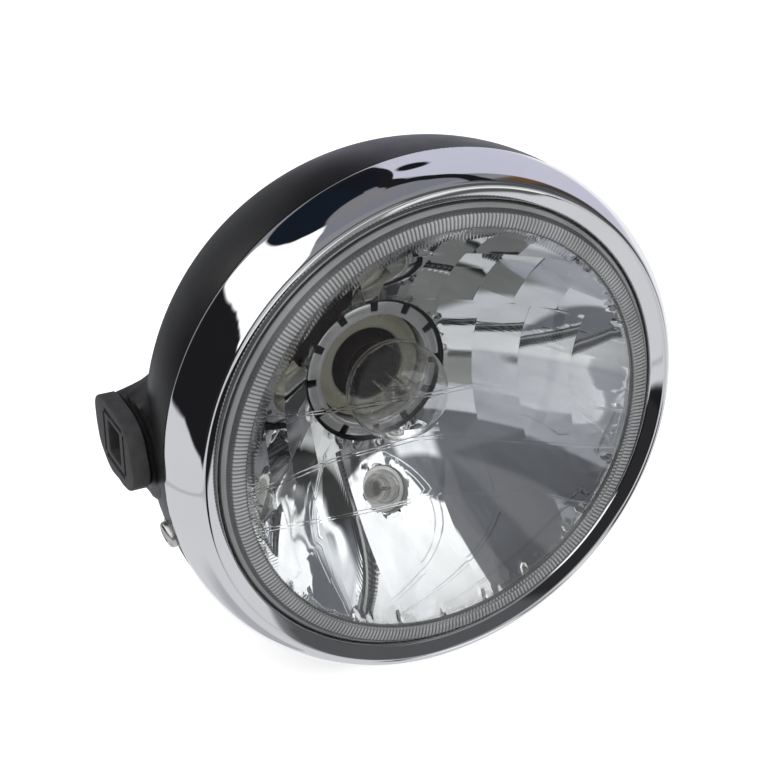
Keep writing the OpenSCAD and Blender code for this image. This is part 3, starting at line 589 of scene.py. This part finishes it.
def curve_through(value, spots):
    """Line through spots on a square of 1 by 1, read at the value of a socket."""
    node = add_node(value.id_data, "ShaderNodeFloatCurve", {"Value": value})
    line = node.mapping.curves[0]
    line.points[0].location, line.points[1].location = spots[0], spots[-1]
    for spot in spots[1:-1]:
        line.points.new(*spot)
    for point in line.points:
        point.handle_type = "VECTOR"
    node.mapping.update()
    return node.outputs[0]


def creased(material, lines):
    """Adds thin pressed creases to a glass."""
    x, _, z = object_axes(material)
    width = 2 * crease_reach
    across = maths("ADD", maths("DIVIDE", x, width / 1000), 0.5)
    ridges = None
    for line in lines:
        height = curve_through(across, [(a / width + 0.5, b / width + 0.5) for a, b in line])
        away = maths("ABSOLUTE", maths("SUBTRACT", z, product(maths("SUBTRACT", height, 0.5), width / 1000)))
        ridge = maths("MAXIMUM", maths("SUBTRACT", 1, maths("DIVIDE", away, crease_width)), 0)
        ridges = ridge if ridges is None else maths("MAXIMUM", ridges, ridge)
    relief = shader_of(material).inputs["Normal"].links[0].from_socket
    crease = add_node(material.node_tree, "ShaderNodeBump",
                      {"Strength": 0.35, "Distance": 0.0001, "Height": ridges, "Normal": relief})
    feed(shader_of(material), {"Normal": crease.outputs["Normal"]})


def shaded(material, share):
    """Multiplies the colour of a finish by the value of a socket."""
    colour = shader_of(material).inputs["Base Color"].links[0].from_socket
    feed(shader_of(material), {"Base Color": tinted(colour, share)})


def within(value, low, high):
    """1 where the value lies between two numbers."""
    return product(maths("GREATER_THAN", value, low), maths("LESS_THAN", value, high))


lens_glass = clear_glass("lens glass", (0.985, 0.995, 0.99), 1.5)
creased(lens_glass, crease_lines)
lens_build = turned(lens_flank + lens_bead + dome_of_lens(0, 20) + dome_of_lens(lens_wall, 12)[::-1]
                    + lens_inner_edge, flute_count * 4)
flutes, flute_sockets, given = growth_tree("lens flutes", flutes="Float", height="Float", glass="Material",
                                           ribbed_glass="Material")
where = add_node(flutes, "GeometryNodeInputPosition").outputs[0]
x, y, z = add_node(flutes, "ShaderNodeSeparateXYZ", {0: where}).outputs
round_turn = product(maths("ARCTAN2", z, x), given["flutes"])
radius = hypotenuse(x, z)
wave = maths("ABSOLUTE", maths("SINE", product(round_turn, 0.5)))
fine_wave = maths("ABSOLUTE", maths("SINE", round_turn))
on_bead = product(within(radius, *fluted), maths("LESS_THAN", y, bead_back_y))
on_flank = product(within(radius, *ribbed), maths("LESS_THAN", y, flank_back_y))
lift = product(maths("ADD", product(wave, on_bead), product(fine_wave, on_flank, 0.5)), given["height"], -1)
move = add_node(flutes, "ShaderNodeCombineXYZ", {"Y": lift})
shift = add_node(flutes, "GeometryNodeSetPosition", {"Geometry": given["Geometry"], "Offset": move.outputs[0]})
frosted = product(maths("GREATER_THAN", radius, fluted[0]), maths("LESS_THAN", y, frosted_back_y))
coat_and_end(shift.outputs[0], given["glass"], given["ribbed_glass"], frosted)

# Frosted by its ribs, the bead looks grey. Its colour is painted lighter on the crests of the flutes and
# ribs, as painted highlight, and darker in the valleys and in the plain land between two bands, as painted
# shade
rib_glass = finish("ribbed glass", (0.62, 0.63, 0.64), 0, 0.22, grain=60, mottle=0.12, bump=0.02,
                   bump_scale=300)
feed(shader_of(rib_glass), {"Transmission Weight": 0.45})
x, _, z = object_axes(rib_glass)
from_axis = hypotenuse(x, z)
round_turn = product(maths("ARCTAN2", z, x), flute_count / 2)


def ring_band(start, end, soft=0.12):
    """1 between two radii in mm, with soft edges."""
    return product(ramp(from_axis, (start - soft) / 1000, (start + soft) / 1000, blend="SMOOTHSTEP"),
                   ramp(from_axis, (end + soft) / 1000, (end - soft) / 1000, blend="SMOOTHSTEP"))


ribs = maths("ABSOLUTE", maths("SINE", round_turn))
fine_ribs = maths("ABSOLUTE", maths("SINE", product(round_turn, 2)))
# Painted highlight on the crests of the flutes and ribs, painted shade in their valleys
bead_crest_highlight = product(ring_band(70.4, 74.4), maths("POWER", ribs, 1.3), 0.8)
flank_crest_highlight = product(ring_band(75.7, 76.9), maths("ADD", 0.4, product(fine_ribs, 0.35)))
shaded(rib_glass, maths("ADD", maths("ADD", 0.18, bead_crest_highlight), flank_crest_highlight))

lens_mesh = grown("lens_glass", smooth(plain_mesh("lens_glass", lens_build), 50), flutes, flute_sockets,
                  (float(flute_count), flute_height, lens_glass, rib_glass))
lens = piece_of("lens_pressed", lens_mesh, None, 50)
lens.visible_shadow = False
lens.visible_diffuse = False
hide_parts("lens")

# Reflector coat. The moulded bowl is covered with vapour-deposited metal. Its mirror is stepped into
# fields, in rows by height and columns by width, each with its own bulge and tilt.
focal = 22.0
vertex_depth = 59.0
coat_r = 70.6
coat_wall = 0.03
seat_r = 26.3
pilot_x = -2.0
pilot_z = -40.5
pilot_tilt = math.radians(28.0)
pilot_bore_r = 8.3
# Rows of fields: height from and to, width of a field, place of one edge, bulge, and liveliness
field_rows = (
    (-71.0, -43.5, 16.0, 1.0, 0.08, 0.15),
    (-43.5, -26.0, 16.0, 1.0, 0.1, 0.2),
    (-26.0, 24.5, 12.0, 10.4, 0.16, 0.45),
    (24.5, 48.0, 10.4, 0.2, 0.24, 1.2),
    (48.0, 71.0, 12.5, -2.5, 0.26, 1.2),
)


def bowl_depth(radius):
    return vertex_depth - radius ** 2 / (4 * focal)


pilot_base = Vector((pilot_x, bowl_depth(math.hypot(pilot_x, pilot_z)), pilot_z))
pilot_way = Vector((0, math.cos(pilot_tilt), -math.sin(pilot_tilt)))


def field_lift(row, column, u, w):
    """How far a field stands in front of the plain bowl at u and w, from -1 to 1 across and up."""
    bulge, liveliness = field_rows[row][4:]
    turn_x = ((column * 7 + row * 3) % 5 - 2) * 0.10 * liveliness
    turn_z = ((column * 3 + row * 5) % 4 - 1.5) * 0.09 * liveliness
    bulge += 0.08 * ((column + row) % 2) * liveliness
    return 0.32 + bulge * (1 - u * u) + turn_x * u + turn_z * w


def held_in(x, z):
    """Moves a point of the coat out of the seat's hole and inside the outer edge."""
    r = math.hypot(x, z)
    if r < 1e-6:
        return seat_r, 0.0
    kept = min(max(r, seat_r), coat_r)
    return x * kept / r, z * kept / r


def from_pilot(point):
    """Way to a point in metres from the pilot bulb's axis, in mm."""
    way = point * 1000 + Vector((0, lip_offset, 0)) - pilot_base
    return way - way.dot(pilot_way) * pilot_way


coat_mesh = bmesh.new()
for row, (low, high, width, edge, _, _) in enumerate(field_rows):
    across, upward = max(6, round(width)), max(6, round((high - low) / 1.2))
    for column in range(math.floor((-coat_r - edge) / width), math.ceil((coat_r - edge) / width)):
        left = edge + column * width
        grid = {(i, k): (left + width * i / across, low + (high - low) * k / upward)
                for i in range(across + 1) for k in range(upward + 1)}
        made = {}
        for i in range(across):
            for k in range(upward):
                cell = ((i, k), (i + 1, k), (i + 1, k + 1), (i, k + 1))
                r = math.hypot(sum(grid[c][0] for c in cell) / 4, sum(grid[c][1] for c in cell) / 4)
                if r > coat_r + 0.4 or r < seat_r - 0.3:
                    continue
                for c in cell:
                    if c in made:
                        continue
                    x, z = grid[c]
                    if r > coat_r - 2 or r < seat_r + 2:
                        x, z = held_in(x, z)
                    u, w = 2 * (x - left) / width - 1, 2 * (z - low) / (high - low) - 1
                    depth = bowl_depth(math.hypot(x, z)) - field_lift(row, column, u, w)
                    made[c] = coat_mesh.verts.new((x / 1000, (depth - lip_offset) / 1000, z / 1000))
                coat_mesh.faces.new([made[c] for c in cell])
doomed = [face for face in coat_mesh.faces if from_pilot(face.calc_center_median()).length < pilot_bore_r + 0.1]
bmesh.ops.delete(coat_mesh, geom=doomed, context="FACES")
for vert in [v for v in coat_mesh.verts if v.is_boundary]:
    r = math.hypot(vert.co.x, vert.co.z) * 1000
    wanted = coat_r if r > coat_r - 1.6 else seat_r if r < seat_r + 1.4 else r
    vert.co.x, vert.co.z = vert.co.x * wanted / r, vert.co.z * wanted / r
    away = from_pilot(vert.co)
    if pilot_bore_r - 2.0 < away.length < pilot_bore_r + 1.2:
        on_edge = away.normalized() * (pilot_bore_r + 0.15)
        vert.co.x += (on_edge.x - away.x) / 1000
        vert.co.z += (on_edge.z - away.z) / 1000
for face in coat_mesh.faces:
    face.normal_update()
if sum(face.normal.y * face.calc_area() for face in coat_mesh.faces) > 0:
    bmesh.ops.reverse_faces(coat_mesh, faces=coat_mesh.faces)
walls = bmesh.ops.extrude_edge_only(coat_mesh, edges=[e for e in coat_mesh.edges if e.is_boundary])
for vert in [v for v in walls["geom"] if isinstance(v, bmesh.types.BMVert)]:
    radius = math.hypot(vert.co.x, vert.co.z) * 1000
    vert.co.y = (bowl_depth(radius) - coat_wall - lip_offset) / 1000
mirror = finish("mirror coat", (0.93, 0.935, 0.94), 1, 0.02, grain=50, mottle=0.01, rough_mottle=0.02,
                bump=0.006, bump_scale=150)
piece_of("reflector_coat", coat_mesh, mirror, 20)

# Reflector body. Moulded in one with its flange and neck, and metallised thinly where the coat ends.
# The well round the bulb's seat lies in the dark: its colour is darkened there, as painted shade.
# Radii from the lens axis over which the well's painted shade fades out, in m
well_shade_edges = (0.0264, 0.0272)
body_metal = finish("metallised moulding", (0.5, 0.5, 0.5), 0.85, 0.35, grain=260, mottle=0.12, bump=0.1)
x, _, z = object_axes(body_metal)
shaded(body_metal, ramp(hypotenuse(x, z), *well_shade_edges, 0.05, 1.0))
coat_nodes(body_metal, "reflector")

# Seat ring of the main bulb. Bright plated steel, turned out at the front into twelve flat teeth that
# rest in the reflector's neck.
tooth_count = 12
tooth_half = math.radians(11.6)
ring_line = ((20.3, 52.1), (20.6, 51.8), (21.6, 51.8), (21.9, 52.1), (21.9, 52.7), (21.1, 52.9), (21.1, 61.2),
             (25.9, 61.2), (25.9, 62.0), (20.3, 62.0))
tooth_line = ((21.8, 51.9), (22.1, 51.75), (24.7, 51.95), (25.1, 52.2), (25.1, 52.75), (21.8, 52.75))
seat_plate = finish("seat ring plate", (0.96, 0.96, 0.97), 0.75, 0.2, grain=150, mottle=0.05,
                    rough_mottle=0.05, bump=0.03, bump_scale=300)
tooth = lofted([[(r / 1000 * math.cos(angle), (d - lip_offset) / 1000, r / 1000 * math.sin(angle))
                 for r, d in tooth_line] for angle in spaced(-tooth_half, tooth_half, 8)], capped=True)
teeth = grown("seat_teeth", smooth(plain_mesh("tooth", tooth)), round_axis, round_sockets,
              (tooth_count, math.radians(15), math.radians(360 / tooth_count), seat_plate))
ring_build = joined(plain_mesh("seat_ring", turned(ring_line, 144)), teeth)
seat_ring = piece_of("bulb_seat_teeth", ring_build, seat_plate, 30)
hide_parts("bulb_seat_ring")

# Bulb flange. Pale passivated steel cup, spun in one piece and fixed to the cap of the main bulb. Its
# colour is darkened towards its bottom, as painted shade.
flange_line = ((13.2, 58.2), (13.45, 57.6), (14.0, 57.25), (15.0, 57.2), (17.6, 57.35), (18.2, 57.2),
               (18.6, 56.95), (19.1, 56.95), (19.5, 57.2), (19.7, 57.6), (19.7, 62.2), (24.1, 62.2),
               (24.1, 63.2), (18.7, 63.2), (18.7, 58.4), (14.2, 58.4), (14.2, 66.0), (10.1, 66.0), (10.1, 65.0),
               (13.2, 65.0))
# Depths over which the flange's painted shade comes in, in m
cup_shade_ends = (0.0168, 0.0192)
pale_steel = finish("passivated steel", (0.56, 0.55, 0.44), 0.6, 0.25, grain=120, mottle=0.08,
                    rough_mottle=0.1, bump=0.05, bump_scale=500)
shaded(pale_steel, ramp(object_axes(pale_steel)["Y"], *cup_shade_ends, 1.0, 0.07))
flange = piece_of("bulb_flange_cup", turned(flange_line, 144), pale_steel, 50)
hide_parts("bulb_flange")

# Main bulb. Blown glass globe on a neck, with two coiled filaments, a dished screen under one of them,
# nickel wires in a dark glass foot, and a brass cap with brown cement at its mouth.
globe_r = 17.2
globe_depth = 34.9
bulb_neck_r = 9.2
fillet_r = 6.0
glass_end = 56.5
glass_wall = 0.35
# Filaments: length, and place of the start across, as depth and up
filament_coils = ((7.2, (-3.6, 37.0, 0.0)), (4.45, (-4.1, 32.6, 1.6)))
coil_r = 0.00042
thread_r = 0.0001
turns_per_mm = 2.4


def bulb_line(inset):
    """Section of the bulb's glass from the tip of the globe to the end of its neck."""
    fillet_middle = bulb_neck_r + fillet_r
    fillet_depth = globe_depth + math.sqrt((globe_r + fillet_r) ** 2 - fillet_middle ** 2)
    last = math.pi / 2 + math.atan2(fillet_depth - globe_depth, fillet_middle)
    globe, fillet = globe_r - inset, fillet_r + inset
    return ([(globe * math.sin(t), globe_depth - globe * math.cos(t)) for t in spaced(0, last, 48)]
            + [(fillet_middle - fillet * math.sin(t), fillet_depth + fillet * math.cos(t))
               for t in spaced(last, math.pi / 2, 12)[1:]] + [(bulb_neck_r - inset, glass_end)])


bulb_glass = clear_glass("bulb glass", (0.99, 0.99, 0.99), 1.5)
bulb_build = turned(bulb_line(0) + bulb_line(glass_wall)[::-1], 128)
bulb = piece_of("bulb_blown", bulb_build, bulb_glass, 50)
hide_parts("bulb_glass")

# A wire wound into a coil along X
coil_tree, coil_sockets, given = growth_tree(
    "wound filament", length="Float", turns="Float", coil_radius="Float", wire_radius="Float", start="Vector",
    metal="Material")
helix = add_node(coil_tree, "GeometryNodeCurveSpiral", {
    "Resolution": 16, "Rotations": given["turns"], "Height": given["length"],
    "Start Radius": given["coil_radius"], "End Radius": given["coil_radius"]})
thread = add_node(coil_tree, "GeometryNodeCurvePrimitiveCircle",
                  {"Resolution": 8, "Radius": given["wire_radius"]})
sweep = add_node(coil_tree, "GeometryNodeCurveToMesh", {
    "Fill Caps": True, "Curve": helix.outputs[0], "Profile Curve": thread.outputs[0]})
lay = add_node(coil_tree, "GeometryNodeTransform", {
    "Rotation": (0, math.radians(90), 0), "Geometry": sweep.outputs[0], "Translation": given["start"]})
coat_and_end(lay.outputs[0], given["metal"])

tungsten = finish("tungsten", (0.35, 0.34, 0.33), 1, 0.35, grain=900, mottle=0.2)
wound = [grown("coil", bpy.data.meshes.new("coil"), coil_tree, coil_sockets,
               (length / 1000, round(length * turns_per_mm), coil_r, thread_r,
                (x / 1000, (depth - lip_offset) / 1000, z / 1000), tungsten))
         for length, (x, depth, z) in filament_coils]
filaments = piece_of("bulb_coils", outward(joined(*wound)), tungsten, 60)
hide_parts("bulb_filaments")
nickel = finish("nickel wire", (0.7, 0.69, 0.66), 1, 0.25, grain=500, mottle=0.1)
foot_glass = finish("dark glass foot", (0.012, 0.005, 0.004), 0, 0.4, grain=260, mottle=0.5, rough_mottle=0.1,
                    bump=0.3, bump_scale=350)
feed(shader_of(foot_glass), {"Specular IOR Level": 0.15})
brass = finish("brass", (0.78, 0.6, 0.3), 1, 0.3, grain=200, mottle=0.1)
cement = finish("brown cement and dull brass", (0.03, 0.015, 0.01), 0.1, 0.6, grain=400, mottle=0.3)
coat_nodes(nickel, "bulb_leads", "filament_shield")
coat_nodes(foot_glass, "bulb_stem")
coat_nodes(cement, "bulb_cap")

# Pilot bulb. Small glass bulb without a cap, pushed with its pale holder into the slanting tube below
# the main bulb. The holder's colour is darkened inside its mouth, as painted shade.
pilot_r = 5.2
pilot_inner_r = 4.85
pilot_length = 10.3
pilot_rise = 0.2
# Distances from the pilot's axis over which the painted shade in the holder's mouth fades out, in m
holder_mouth_shade = (0.0028, 0.0045)


def pilot_end(radius):
    """Section of the pilot bulb's round end."""
    return [(radius * math.sin(t), -pilot_rise - radius * math.cos(t)) for t in spaced(0, math.pi / 2, 12)]


pilot_build = turned(pilot_end(pilot_r) + [(pilot_r, pilot_length), (pilot_inner_r, pilot_length)]
                     + pilot_end(pilot_inner_r)[::-1], 64)
lip_shift = Vector((0, lip_offset / 1000, 0))
pilot_place = pilot_base / 1000 - lip_shift
slant = Matrix.Translation(pilot_place) @ Matrix.Rotation(-pilot_tilt, 4, "X") @ Matrix.Translation(lip_shift)
bmesh.ops.transform(pilot_build, matrix=slant, verts=pilot_build.verts)
pilot = piece_of("pilot_blown", pilot_build, bulb_glass, 50)
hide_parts("pilot_glass")
for clear in (bulb, pilot):
    clear.visible_shadow = False
    clear.visible_diffuse = False
holder_resin = finish("grey holder", (0.88, 0.88, 0.86), 0, 0.4, grain=250, mottle=0.15)
tree = holder_resin.node_tree
place = add_node(tree, "ShaderNodeTexCoord").outputs["Object"]
away = add_node(tree, "ShaderNodeVectorMath", {0: place, 1: pilot_place}, operation="SUBTRACT")
across = add_node(tree, "ShaderNodeVectorMath", {0: away.outputs[0], 1: pilot_way}, operation="CROSS_PRODUCT")
far_off = add_node(tree, "ShaderNodeVectorMath", {0: across.outputs[0]}, operation="LENGTH").outputs["Value"]
shaded(holder_resin, ramp(far_off, *holder_mouth_shade, 0.2, 1.0))
coat_nodes(tungsten, "pilot_filament")
coat_nodes(holder_resin, "pilot_holder")
coat_nodes(brass, "pilot_terminals")

# Holder of the main bulb behind the reflector, with its blades, lock spring and rubber boot, and the
# grommet in the wiring port.
resin = finish("black resin", (0.025, 0.025, 0.027), 0, 0.4, grain=250, mottle=0.1)
spring = finish("spring steel", (0.6, 0.6, 0.6), 1, 0.3, grain=300)
coat_nodes(resin, "bulb_socket")
coat_nodes(brass, "socket_terminals")
coat_nodes(spring, "lock_spring")
coat_nodes(rubber, "dust_boot", "wiring_grommet")

# Steel parts between rim, optical unit and bucket, zinc plated or painted black, and the grey bead
# that seals the lens.
black_steel = finish("black steel", (0.03, 0.03, 0.032), 0.2, 0.45, grain=200)
sealant = finish("grey sealant", (0.25, 0.25, 0.25), 0, 0.6, grain=300)
coat_nodes(zinc, "rim_bracket_left", "rim_bracket_right", "rim_top_hook", "rim_nut_left", "rim_nut_right",
           "rim_tabs", "ring_screws")
coat_nodes(black_steel, "unit_ring")
coat_nodes(sealant, "lens_seal")

# Floor and studio. The lamp stands on a pale floor in a white room. What its chrome and mirror show
# of that room is painted on the world by direction: pale floor, black wall, white window.
floor_z = cad_box[0][2] - 0.0002
floor_mesh = bpy.data.meshes.new("floor")
floor_mesh.from_pydata([(x, y, floor_z) for x, y in ((-4, -4), (4, -4), (4, 4), (-4, 4))], [], [(0, 1, 2, 3)])
floor = placed("floor", floor_mesh)
floor.visible_glossy = False
floor.visible_transmission = False
paper = bpy.data.materials.new("paper floor")
paper.use_nodes = True
tree = paper.node_tree
tree.nodes.remove(shader_of(paper))
matt = add_node(tree, "ShaderNodeBsdfDiffuse", {"Color": (0.8, 0.8, 0.8, 1)})
to_camera = add_node(tree, "ShaderNodeLightPath").outputs["Is Camera Ray"]
glow = add_node(tree, "ShaderNodeEmission", {"Strength": product(to_camera, 0.7)})
both = add_node(tree, "ShaderNodeAddShader", {0: matt.outputs[0], 1: glow.outputs[0]})
feed(tree.nodes["Material Output"], {"Surface": both.outputs[0]})
floor.data.materials.append(paper)

world = bpy.data.worlds.new("studio")
bpy.context.scene.world = world
world.use_nodes = True
tree = world.node_tree
tree.nodes.clear()
way = add_node(tree, "ShaderNodeTexCoord").outputs["Generated"]
to_right, to_back, to_top = add_node(tree, "ShaderNodeSeparateXYZ", {0: way}).outputs
to_degrees = 57.2958
bearing = product(maths("ARCTAN2", to_right, product(to_back, -1)), to_degrees)
rise = product(maths("ARCSINE", to_top), to_degrees)


def curve_of(*points):
    """Height in degrees as a function of the bearing, through points of bearing and height."""
    scaled = maths("DIVIDE", maths("ADD", bearing, 180), 360)
    height = curve_through(scaled, [((b + 180) / 360, (h + 90) / 180) for b, h in points])
    return maths("SUBTRACT", product(height, 180), 90)


def painted(base, *layers):
    """Lays colours over a base colour, each where all of its masks are 1."""
    for colour, *masks in layers:
        values = {"Factor": product(*masks), "A": base, "B": (*colour, 1)}
        base = add_node(tree, "ShaderNodeMix", values, data_type="RGBA").outputs["Result"]
    return base


def below(value, edge, soft=1.0):
    """1 where the value is under the edge, a socket or a number."""
    return ramp(maths("SUBTRACT", value, edge), soft, -soft, blend="SMOOTHSTEP")


def above(value, edge, soft=1.0):
    """1 where the value is over the edge, a socket or a number."""
    return ramp(maths("SUBTRACT", value, edge), -soft, soft, blend="SMOOTHSTEP")


def between(low, high, value=bearing, soft=2.0):
    """1 where the bearing, or another value, lies between two numbers."""
    return product(above(value, low, soft), below(value, high, soft))


# What the rim shows: mid grey room with a lilac ceiling and a pale floor. Furniture, wood and a pale
# lilac wall in a black arched frame stand on the right. On the left are a navy corner, which narrows
# along the white window, and the black wall below it.
black = (0.012, 0.012, 0.014)
floor_edge = curve_of(
    (-180, -20), (-148, -12), (-115, -8), (-100, -10), (-80, -14), (-57, -18), (-30, -23), (-10, -26),
    (11, -26), (13, -14), (20, -12), (24, -24), (30, -27), (34, -20), (46, -10), (54, -11), (75, -15),
    (88, -20), (95, -24), (180, -28))
inner_arch = curve_of(
    (-180, -30), (44, -30), (46, 30), (55, 40), (62, 48), (72, 54), (84, 60), (100, 67), (130, 72), (154, 66),
    (164, 36), (166, 20), (180, 20))
outer_arch = curve_of(
    (-180, -30), (42, -30), (44, 40), (50, 48), (62, 58), (75, 70), (100, 78), (130, 83), (162, 76), (176, 60),
    (180, 60))
blob = hypotenuse(maths("DIVIDE", maths("SUBTRACT", bearing, 150), 7),
                  maths("DIVIDE", maths("SUBTRACT", rise, 50), 6))
window_top = curve_of(
    (-180, 30), (-155, 33), (-130, 52), (-110, 63), (-90, 70), (-75, 72), (-55, 67), (-35, 53), (-25, 43),
    (-15, 30), (-8, 18), (-2, 6), (0, -12), (180, -12))
left_foot = ((-180, 12), (-152, 17), (-140, 22), (-120, 29), (-100, 32), (-80, 30), (-60, 24), (-45, 17),
             (-32, 8), (-20, 0), (-12, -5))
window_foot = curve_of(*left_foot, (0, -12), (180, 20))
wall_top = curve_of(*left_foot, (4, -12), (12, -22), (180, -22))
wall_foot = curve_of(
    (-180, -14), (-148, -12), (-130, -9), (-115, -8), (-100, -10), (-80, -14), (-57, -18), (-30, -23),
    (-10, -26), (12, -26), (180, -26))
arc_top = curve_of(
    (-180, -30), (-15, -30), (-14, -14), (-11, -2), (-5, 5), (2, 9), (10, 12), (20, 12.5), (30, 10), (38, 6),
    (46, 0), (50, -6), (51, -30), (180, -30))
arc_foot = curve_of(
    (-180, -20), (-15, -24), (-6, -22), (-3, -14), (2, -6), (8, -2), (14, -3), (22, -2), (26, -20), (30, -20),
    (36, -14), (44, -7), (49, -8), (180, -8))
room = painted(
    (0.25, 0.255, 0.27, 1),
    ((0.2, 0.205, 0.24), above(rise, 50, 4)),
    ((0.21, 0.21, 0.225), above(rise, 73, 2)),
    ((0.63, 0.64, 0.66), below(rise, floor_edge)),
    ((0.42, 0.43, 0.45), below(rise, -56, 8), below(bearing, -88, 14)),
    # Dark furniture, seen in the lip, with brown wood behind it
    ((0.1, 0.1, 0.1), between(36, 86, soft=4), between(-9, 40, rise, 3)),
    ((0.06, 0.05, 0.045), between(56, 84, soft=6), between(-2, 36, rise, 5)),
    # Lilac wall and its frame
    ((0.57, 0.57, 0.67), between(81, 164, soft=3), between(-12, 70, rise)),
    ((0.9, 0.91, 0.93), between(95, 146, soft=6), between(-28, 1, rise, 4)),
    (black, above(rise, inner_arch), below(rise, outer_arch)),
    ((0.14, 0.075, 0.035), between(62, 80, soft=3), between(30, 41, rise, 3)),
    ((0.01, 0.01, 0.012), below(blob, 1, 0.2)),
    ((0.95, 0.95, 0.97), between(148, 182), between(-66, -38, rise, 4)),
    # Navy corner behind, the window, and the wall below it
    ((0.008, 0.012, 0.02), below(bearing, -90, 4), above(rise, window_top), below(rise, 73)),
    ((0.008, 0.01, 0.014), above(bearing, 164, 2), between(38, 71, rise)),
    ((1.25, 1.25, 1.25), between(-156, -1), above(rise, window_foot), below(rise, window_top)),
    (black, between(-152, 13), below(rise, wall_top), above(rise, wall_foot)),
    # Dark arc over the lip
    ((0.025, 0.025, 0.027), between(-15, 10), below(rise, arc_top), above(rise, arc_foot)),
    ((0.09, 0.092, 0.096), between(8, 51), below(rise, arc_top), above(rise, arc_foot)))
# Fan of strips that the lip's upper half shows, from one edge to the next
edges = [curve_of((-180, -29), *ray, (180, -53)) for ray in (
    ((27, -29), (40, -28), (50, -27), (60, -28.5), (68, -33), (76, -40), (78, -47)),
    ((27, -29), (40, -33.5), (50, -37), (60, -41), (68, -44), (70, -46), (71, -52), (78, -53)),
    ((27, -29), (40, -38), (50, -43), (60, -46), (69, -47), (78, -53)),
    ((27, -29), (33, -37), (40, -42), (50, -49), (60, -52), (68, -53), (78, -53)),
    ((27, -29), (29, -36), (31, -50), (36, -54), (44, -55), (56, -54.5), (64, -53), (78, -53)),
    ((27, -29), (28, -53), (36, -56.5), (46, -57), (56, -56.5), (68, -54), (78, -53)))]
for shade, upper, lower in zip((0.012, 0.9, 0.26, 0.9, 0.1), edges, edges[1:]):
    room = painted(room, ((shade, shade, shade), between(27, 78, soft=1), below(rise, upper, 0.6),
                          above(rise, lower, 0.6)))

# What the mirror shows through the lens: slate ceiling, white window, pale walls and floor
slate = (0.145, 0.15, 0.168)
slate_foot = curve_of(
    (-180, 8), (-76, 8), (-70, 11), (-60, 11), (-48, 13), (-40, 12), (-30, 13), (-18, 15), (180, 30))
window_low = curve_of(
    (-180, 58), (-9, 58), (2, 56), (8, 54), (12, 47), (18, 40), (26, 34), (40, 31), (60, 28), (70, 31),
    (90, 29), (180, 29))
inner = painted(
    (0.19, 0.19, 0.19, 1),
    ((0.03, 0.03, 0.031), between(-10, 75, soft=6), between(-68, 5, rise, 5)),
    ((0.62, 0.63, 0.65), below(rise, -31, 2), between(-110, -28, soft=3)),
    ((0.4, 0.41, 0.45), between(-110, -43, soft=3), between(-32, 18, rise, 3)),
    ((0.6, 0.61, 0.65), between(-45, -11, soft=2), between(-5, 16, rise, 2)),
    ((0.02, 0.026, 0.022), between(-61, -55), between(-30, -25, rise)),
    ((0.02, 0.026, 0.022), between(-44, -33), between(-31, -26, rise)),
    (slate, between(-112, -9, soft=1), above(rise, slate_foot)),
    (slate, between(-12, 40, soft=1), above(rise, 33, 2)),
    ((0.4, 0.42, 0.46), between(-66, -61, soft=1), between(31, 39, rise, 2)),
    ((0.055, 0.055, 0.058), between(26, 66, soft=3), between(-4, 30, rise, 3)),
    ((1.3, 1.3, 1.32), between(-9, 94, soft=1), above(rise, window_low, 0.7), below(rise, 79)),
    ((0.95, 0.96, 1.0), between(-20, 12, soft=3), between(27, 40, rise)),
    ((0.9, 0.92, 0.95), between(-92, -79), between(8, 42, rise)))
# Soft clouds all over, and stronger patches where the ceiling meets the window
clouds = add_node(tree, "ShaderNodeTexNoise", {"Vector": way, "Scale": 5, "Detail": 3}).outputs["Fac"]
patches = add_node(tree, "ShaderNodeTexNoise", {"Vector": way, "Scale": 6, "Detail": 1}).outputs["Fac"]
steep = product(between(-12, 60, soft=4), between(6, 31, rise, 3))
patchy = maths("SUBTRACT", ramp(patches, 0.4, 0.6, 0.12, 4.0), 1)
inner = tinted(inner, maths("ADD", 1, product(steep, patchy)))
inner = tinted(inner, ramp(clouds, *noise_ends, 0.88, 1.12))


def background(colour, strength):
    return add_node(tree, "ShaderNodeBackground", {"Color": colour, "Strength": strength}).outputs[0]


# White for the camera, paler grey for soft light, and the painted room for reflections. A ray that has
# passed the lens more than once sees what the mirror shows.
white = (1, 1, 1, 1)
path = add_node(tree, "ShaderNodeLightPath").outputs
through_lens = maths("GREATER_THAN", path["Transmission Depth"], 1.5)
shown_room = add_node(tree, "ShaderNodeMix", {"Factor": through_lens, "A": room, "B": inner}, data_type="RGBA")
seen = maths("MAXIMUM", path["Is Camera Ray"], path["Is Transmission Ray"])
plain = add_node(tree, "ShaderNodeMixShader", {0: seen, 1: background(white, 0.55), 2: background(white, 1)})
whole = add_node(tree, "ShaderNodeMixShader", {
    0: path["Is Glossy Ray"], 1: plain.outputs[0], 2: background(shown_room.outputs["Result"], 1)})
add_node(tree, "ShaderNodeOutputWorld", {0: whole.outputs[0]})

for name, spot, size, power in (("key light", (-0.9, -0.5, 1.3), 0.9, 9),
                                ("fill light", (0.9, -1.1, 0.7), 1.2, 5)):
    lamp = bpy.data.lights.new(name, "AREA")
    lamp.size = size
    lamp.energy = power
    light = placed(name, lamp)
    light.location = spot
    light.rotation_mode = "QUATERNION"
    light.rotation_quaternion = (-Vector(spot)).to_track_quat("-Z", "Y")
    light.visible_glossy = False
    light.visible_transmission = False

bpy.context.scene.view_settings.view_transform = "Standard"
